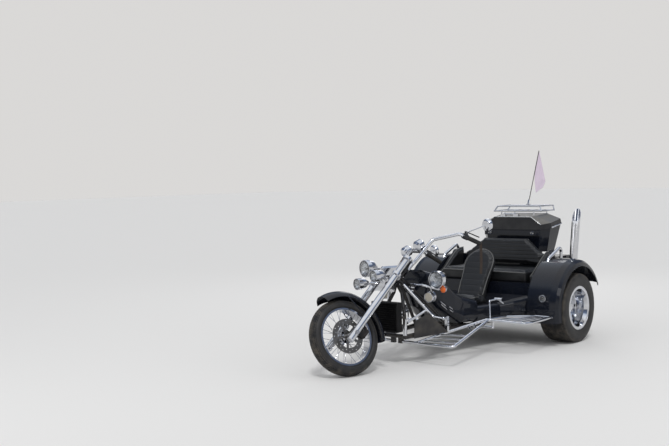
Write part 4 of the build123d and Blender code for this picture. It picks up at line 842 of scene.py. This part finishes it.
# %% Bench
bench_cushion = foam("bench_cushion_padded", "bench_cushion", 9.0, 26.0, 9.0)
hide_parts("bench_cushion")
bench_back = foam("bench_back_padded", "bench_back", 8.0, 24.0, 8.0, rests=False)
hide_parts("bench_back")
channels(bench_back, 2.6, 38.0, math.atan2(75.0, 305.0), 0.5)
bolsters = [foam(f"bolster_{side}_padded", "bench_bolsters", 7.0, 18.0, 6.0, sign) for side, sign in SIDES]
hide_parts("bench_bolsters")
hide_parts("bench_bolsters")
# Grey cords close the bench cushion's front lip and run along each bolster's top; their grey is partly
# trim and partly a painted highlight on those edges.
lip = [(x, 2090, 690) for x in (-480, -300, -100, 100, 300, 480)]
piping("bench_piping", bench_cushion, mm_points(lip), 4.5)
BOLSTER_LINE = [(2112, 650), (2180, 700), (2300, 788), (2430, 878), (2500, 886), (2555, 888)]
for made, (side, sign) in zip(bolsters, SIDES):
    route = mm_points([(sign * 506, y, z) for y, z in BOLSTER_LINE])
    piping(f"bolster_{side}_piping", made, route, 4.0)

# %% [markdown]
# Sheet metal fenders end in a rolled hem, a thin ring section turned through the
# fender's own angle. Other thin trim is made of straight bars. The lid has a bright
# line round its front and a chrome strip low on each side, the cowl has short bright
# louvres, and the frame's two upright tubes wear polished sleeves. Louvres are seated
# on the cowl's own surface.


# %% Bright trim
def bar(start, end, radius, sides=14):
    """A straight round bar between two points, in millimetres."""
    run = Vector(end) - Vector(start)
    return placed(drum(radius, run.length, sides, radius * 0.4), at(*start) @ facing(run))


def chain(points, radius):
    """Straight bars through several points, with a ball at every corner."""
    parts = [bar(first, second, radius) for first, second in zip(points, points[1:])]
    for point in points[1:-1]:
        ball = bmesh.new()
        bmesh.ops.create_uvsphere(ball, u_segments=12, v_segments=8, radius=radius * 1.01 * MM)
        parts.append(placed(ball, at(*point)))
    return joined(*parts)


LID_FRONT_Y = WHEELBASE + 244.0
LID_EDGE = [(75.0, 405.0), (275.0, 412.0)]
LID_EDGE_Z = 1062.0
LID_RISE = 0.171
front_line = [(x, LID_FRONT_Y, z) for x, z in ((-323, 1105), (-212, 1182), (212, 1182), (323, 1105))]
pale_line = bright_metal("trim_bright", (0.80, 0.80, 0.78), 0.25)
piece("lid_front_trim", placed(chain(front_line, 4.0), CHASSIS), "trunk_lid", pale_line, "chrome")
for side, sign in SIDES:
    edge_line = [(sign * (half + 1.5), LID_FRONT_Y + back, LID_EDGE_Z + LID_RISE * back)
                 for back, half in LID_EDGE]
    piece(f"lid_side_trim_{side}", placed(chain(edge_line, 6.5), CHASSIS), "trunk_lid", chrome, "chrome")
for side, matrix in (("left", LEFT_WHEEL), ("right", RIGHT_WHEEL)):
    hem = lathe(wire_outline(877 - REAR_TRACK_HALF, 405, 4.5), 72, -63.0, 166.0)
    piece(f"fender_hem_{side}", placed(hem, matrix), "chassis", paint, "black_paint")
hems = [lathe(wire_outline(sign * 87, 332, 3.5), 60, -51.0, 125.0) for sign in (1, -1)]
piece("front_fender_hem", placed(joined(*hems), FRONT_WHEEL), "fork", paint, "black_paint")
cowl_skin = skin_of(nodes["front_cowl"])
LOUVRES = [((190, 1096, 476), (208, 1163, 420)), ((222, 1182, 418), (234, 1219, 392)),
           ((192, 1083, 500), (212, 1142, 454)), ((224, 1170, 447), (236, 1210, 420))]
strips = []
for start, end in LOUVRES:
    seated = [cowl_skin.find_nearest(CHASSIS @ (Vector(spot) * MM)) for spot in (start, end)]
    ends = [spot / MM + normal * 1.5 for spot, normal, _, _ in seated]
    strips.append(bar(ends[0], ends[1], 3.6, 10))
louvres = joined(*strips)
other = placed(louvres.copy(), MIRROR)
piece("cowl_louvres", joined(louvres, other), "chassis", chrome, "chrome")
sleeve = [(0, 16.2), (2, 18.2), (150, 18.2), (152, 16.2)]
sleeves = [placed(lathe(sleeve, 32), CHASSIS @ at(x, 645, 240) @ facing((0, 0, 1)) @ STAND)
           for x in (120, -120)]
piece("downtube_sleeves", joined(*sleeves), "chassis", chrome, "chrome")
print("bright trim done")

# %% [markdown]
# Between the frame's upper tubes hangs a small dark canister in two bright clamps, on a
# bracket that reaches the nearest frame tube. A leather strap hangs from the left grip,
# and the rack's two cleats carry round-headed bolts.

# %% Canister, strap and bolts
CANISTER_FOOT = Vector((85.0, 790.0, 610.0))
CANISTER_LEAN = Vector((0.18, 0.12, 1.0))
stand = CHASSIS @ at(*CANISTER_FOOT) @ facing(CANISTER_LEAN)
can = joined(drum(25.0, 62.0, 32, 5.0), placed(drum(10.0, 72.0, 20, 2.0), at(0, 0, -4)))
piece("canister", placed(can, stand), "chassis", plastic, "black_plastic")
clamp = [(0, 24.6), (0, 27), (9, 27), (9, 24.6), (0, 24.6)]
clamps = joined(*[placed(lathe(clamp, 36), at(0, 0, z) @ STAND) for z in (12, 40)])
piece("canister_clamps", placed(clamps, stand), "chassis", chrome, "chrome")
frame_skin = skin_of(nodes["main_frame"])
middle = stand @ Vector((0, 0, 30 * MM))
reach = frame_skin.find_nearest(middle)[0]
piece("canister_bracket", bar(middle / MM, reach / MM, 5.0), "chassis", frame_paint, "frame_paint")
leather = moulded("leather_brown", (0.030, 0.018, 0.012), 0.5, 260.0, 0.0006, 0.2)
STRAP_TOP = Vector((432.0, 1388.0, 1016.0))
STRAP_LENGTH, STRAP_WIDTH = 285.0, 24.0
STRAP_ACROSS = Vector((0.75, 0.66, 0.0))
shape = bmesh.new()
bmesh.ops.create_grid(shape, x_segments=4, y_segments=30, size=0.5)
for vert in shape.verts:
    side, drop = vert.co.x, 0.5 - vert.co.y
    sway = 5.0 * math.sin(4.0 * drop) * drop
    hang = Vector((sway, 0.0, -drop * STRAP_LENGTH))
    vert.co = (STRAP_TOP + STRAP_ACROSS * side * STRAP_WIDTH + hang) * MM
placed(shape, CHASSIS)
bmesh.ops.recalc_face_normals(shape, faces=shape.faces)
strap_area = sum(face.calc_area() for face in shape.faces)
strap = piece("grip_strap", shape, "fork", leather, "black_vinyl")
wall = strap.modifiers.new("leather", "SOLIDIFY")
wall.thickness = 0.003
wall.offset = 0.0
bolts = [placed(dome(9.0, 7.0, 1.0), CHASSIS @ at(x + side, LID_FRONT_Y + 36.0, 1221.0) @ STAND)
         for x in (-125.0, 25.0) for side in (-16.0, 16.0)]
piece("cleat_bolts", joined(*bolts), "trunk_lid", chrome, "chrome")
print("strap", round(strap_area, 4), "square metres")

# %% [markdown]
# The radiator stands behind the front wheel. Its core is a stack of flat water tubes
# with thin fins across them, inside a folded frame. Fins are real slabs here, because
# they catch the light one by one.

# %% Radiator core
TUBE_HEIGHTS = range(304, 534, 19)
FIN_PLACES = range(-124, 125, 8)
tubes = [slab((-128, 513, z), (128, 520.5, z + 3.0), 1.0) for z in TUBE_HEIGHTS]
fins = [slab((x - 0.8, 514, 300), (x + 0.8, 520, 536)) for x in FIN_PLACES]
sides = [slab((-138, 508, z), (138, 521, z + 13), 2.0) for z in (290, 532)]
sides += [slab((x, 508, 290), (x + 10, 521, 545), 2.0) for x in (-138, 128)]
piece("radiator_core", placed(joined(*tubes, *fins, *sides), CHASSIS), "chassis", core_black, "aluminium")
print("radiator fins", len(fins))

# %% [markdown]
# Two round horns hang below the side headlamps. Each has a pale dished face pressed in
# rings, which is one stepped outline on the lathe.

# %% Horns
horn_cream = moulded("horn_cream", (0.46, 0.43, 0.37), 0.45, 160.0, 0.0004, 0.8)
HORN_OUTLINE = [
    (0, 0), (3, 6), (3, 12), (-1, 15), (2, 19), (2, 24), (-2, 27), (1, 31), (1, 36), (-3, 39), (-3, 0),
    (0, 0),
]
for side, sign in SIDES:
    front = CHASSIS @ at(sign * 240.0, 835.0, 568.0) @ FORWARDS
    face = placed(lathe(HORN_OUTLINE, 40), front @ at(2.0, 0, 0))
    piece(f"horn_face_{side}", face, "chassis", horn_cream, "chrome")
    piece(f"horn_ring_{side}", placed(ring(43.0, 3.4), front), "chassis", chrome, "chrome")
print("horns done")

# %% [markdown]
# The plate at the back stays blank: a thin pale sheet with a pressed border, held by
# two round-headed screws.

# %% Plate
plate_white = moulded("plate_white", (0.60, 0.60, 0.57), 0.4, 300.0, 0.0002, 0.4)
PLATE_Y = 2948.0
plate = slab((-101, PLATE_Y - 1.5, 424), (101, PLATE_Y + 0.5, 556), 0.6)
BORDER = [(-97, 428, 97, 431), (-97, 549, 97, 552), (-97, 428, -94, 552), (94, 428, 97, 552)]
border = joined(*[slab((left, PLATE_Y, foot), (right, PLATE_Y + 1.4, top), 0.7)
                  for left, foot, right, top in BORDER])
piece("plate_blank", placed(joined(plate, border), CHASSIS), "chassis", plate_white, "black_plastic")
screws = [placed(dome(6.0, 3.0, 1.0), CHASSIS @ at(x, PLATE_Y + 1.0, 490) @ REARWARDS) for x in (-75, 75)]
piece("plate_screws", joined(*screws), "chassis", steel, "steel")
print("plate done")

# %% [markdown]
# The pennant hangs from the mast by its short side. It is one thin sheet with shallow
# folds that run down from the mast, and a light weave.


# %% Pennant
def cloth(name, colour):
    finish = Finish(name, Specular_IOR_Level=0.2)
    thread = {"Vector": finish.place, "Scale": 260.0}
    warp = finish.node("ShaderNodeTexWave", {"bands_direction": "X"}, thread, "Fac")
    weft = finish.node("ShaderNodeTexWave", {"bands_direction": "Z"}, thread, "Fac")
    cloud = finish.noise(6.0, 4.0)
    finish.set("Base Color", finish.mix(cloud * 0.5, colour, tuple(part * 0.82 for part in colour)))
    finish.set("Roughness", cloud * 0.1 + 0.8)
    finish.bump(warp * 0.5 + weft * 0.5, 0.0004)
    return finish.material


MAST_BASE = Vector((-41.0, WHEELBASE + 649.0, 1301.0)) * MM
MAST_TOP = Vector((-10.0, WHEELBASE + 835.0, 1866.0)) * MM
up = (MAST_TOP - MAST_BASE).normalized()
wind = Vector((0.758, 0.652, 0.0))
out = (wind - up * wind.dot(up)).normalized()
across = out.cross(up)
HOIST = [(590, 0), (460, 0), (330, 0), (262, 14), (137, 50)]
FLY = [(590, 0), (470, 50), (282, 128), (210, 112), (137, 50)]
ROWS, COLUMNS = 40, 18
MAST_RADIUS = 4.0 * MM


def on_line(line, share):
    place = share * (len(line) - 1)
    index = min(int(place), len(line) - 2)
    return Vector(line[index]).lerp(Vector(line[index + 1]), place - index)


shape = bmesh.new()
bmesh.ops.create_grid(shape, x_segments=COLUMNS, y_segments=ROWS, size=0.5)
for vert in shape.verts:
    side, rise = vert.co.x + 0.5, 0.5 - vert.co.y
    spot = on_line(HOIST, rise).lerp(on_line(FLY, rise), side) * MM
    fade = math.sin(math.pi * min(1.0, rise * 1.1))
    fold = math.sin(9.0 * side + 5.0 * rise) * 7.0 * side * fade * MM
    vert.co = MAST_BASE + up * spot.x + out * (spot.y + MAST_RADIUS) + across * fold
placed(shape, CHASSIS)
bmesh.ops.remove_doubles(shape, verts=shape.verts, dist=NODE_WELD)
bmesh.ops.recalc_face_normals(shape, faces=shape.faces)
area = sum(face.calc_area() for face in shape.faces)
flag_cloth = cloth("cloth_lilac", (0.70, 0.60, 0.71))
pennant = piece("pennant", shape, "trunk_lid", flag_cloth, "flag_cloth", ["flag"])
wall = pennant.modifiers.new("cloth", "SOLIDIFY")
wall.thickness = 0.0012
wall.offset = 0.0
print("pennant", round(area, 4), "square metres")

# %% [markdown]
# A pale floor and an even soft light, as in a studio. A wide sun gives the shadow and
# the sky gives the rest, at the level where a colour renders as it is written. Chrome
# shows nothing but its surroundings, so the room that metal, glass and the camera see
# is pale at eye level, darker higher up, and bright again overhead, where a studio has
# its soft box. That draws the dark lines that make tubes look round.


# %% Stage and light
def lamp(name, kind, place, target, size, strength):
    light = bpy.data.lights.new(name, kind)
    if kind == "SUN":
        light.angle = math.radians(size)
    else:
        light.shape = "DISK"
        light.size = size
    light.energy = strength
    holder = bpy.data.objects.new(name, light)
    holder.location = place
    holder.rotation_mode = "QUATERNION"
    holder.rotation_quaternion = (Vector(target) - Vector(place)).to_track_quat("-Z", "Y")
    bpy.context.scene.collection.objects.link(holder)


def floor_finish():
    finish = Finish("floor", Roughness=0.9, Specular_IOR_Level=0.1)
    grain = finish.noise(70.0, 4.0)
    finish.set("Base Color", finish.mix(grain * 0.25, (0.79, 0.785, 0.775), (0.74, 0.735, 0.725)))
    return finish.material


ground = bmesh.new()
bmesh.ops.create_grid(ground, x_segments=1, y_segments=1, size=80.0)
floor_mesh = bpy.data.meshes.new("floor")
ground.to_mesh(floor_mesh)
ground.free()
floor = bpy.data.objects.new("floor", floor_mesh)
floor.data.materials.append(floor_finish())
bpy.context.scene.collection.objects.link(floor)

PALE, DARK, HAZE = (0.70, 0.69, 0.68), (0.09, 0.11, 0.16), (0.17, 0.22, 0.33)
SKY, SOFT_BOX = (0.74, 0.82, 0.95), (1.0, 1.0, 1.0)
ROOM_STOPS = [(0.0, PALE), (0.60, PALE), (0.66, DARK), (0.80, HAZE), (0.86, SKY), (1.0, SOFT_BOX)]
LIGHT = 0.62
world = bpy.data.worlds.new("studio")
world.use_nodes = True
bpy.context.scene.world = world
room = NodeTree(world.node_tree)
height = room.upward(room.node("ShaderNodeTexCoord", {}, {}, "Generated"))
ramp = room.node("ShaderNodeValToRGB", {"stops": ROOM_STOPS}, {0: height * 0.5 + 0.5}, "Color")
seen = room.node("ShaderNodeBackground", {}, {"Color": ramp, "Strength": 1.0})
lit = room.node("ShaderNodeBackground", {}, {"Color": (0.97, 0.98, 1.0, 1.0), "Strength": LIGHT})
looks = room.node("ShaderNodeLightPath", {}, {}, "Is Camera Ray")
for kind in ("Is Glossy Ray", "Is Transmission Ray"):
    looks = looks.maths("MAXIMUM", looks, room.node("ShaderNodeLightPath", {}, {}, kind))
choose = room.node("ShaderNodeMixShader", {}, {0: looks, 1: lit, 2: seen})
room.tree.links.new(choose.socket, room.tree.nodes["World Output"].inputs[0])
# Each lamp: its name and kind, where it stands, what it looks at, its size and strength.
LAMPS = [
    ("sun", "SUN", (3.0, -3.5, 7.0), (0, 0, 0), 12.0, 1.05),
    ("side", "AREA", (6.0, -1.0, 3.0), (0, 0.3, 0.6), 2.2, 26.0),
    ("front", "AREA", (-1.5, -6.0, 3.6), (0, -0.5, 0.6), 2.2, 26.0),
    ("rear", "AREA", (-3.0, 5.0, 4.0), (0, 0, 0.6), 2.5, 30.0),
]
for row in LAMPS:
    lamp(*row)
print("lamps", len(bpy.data.lights))
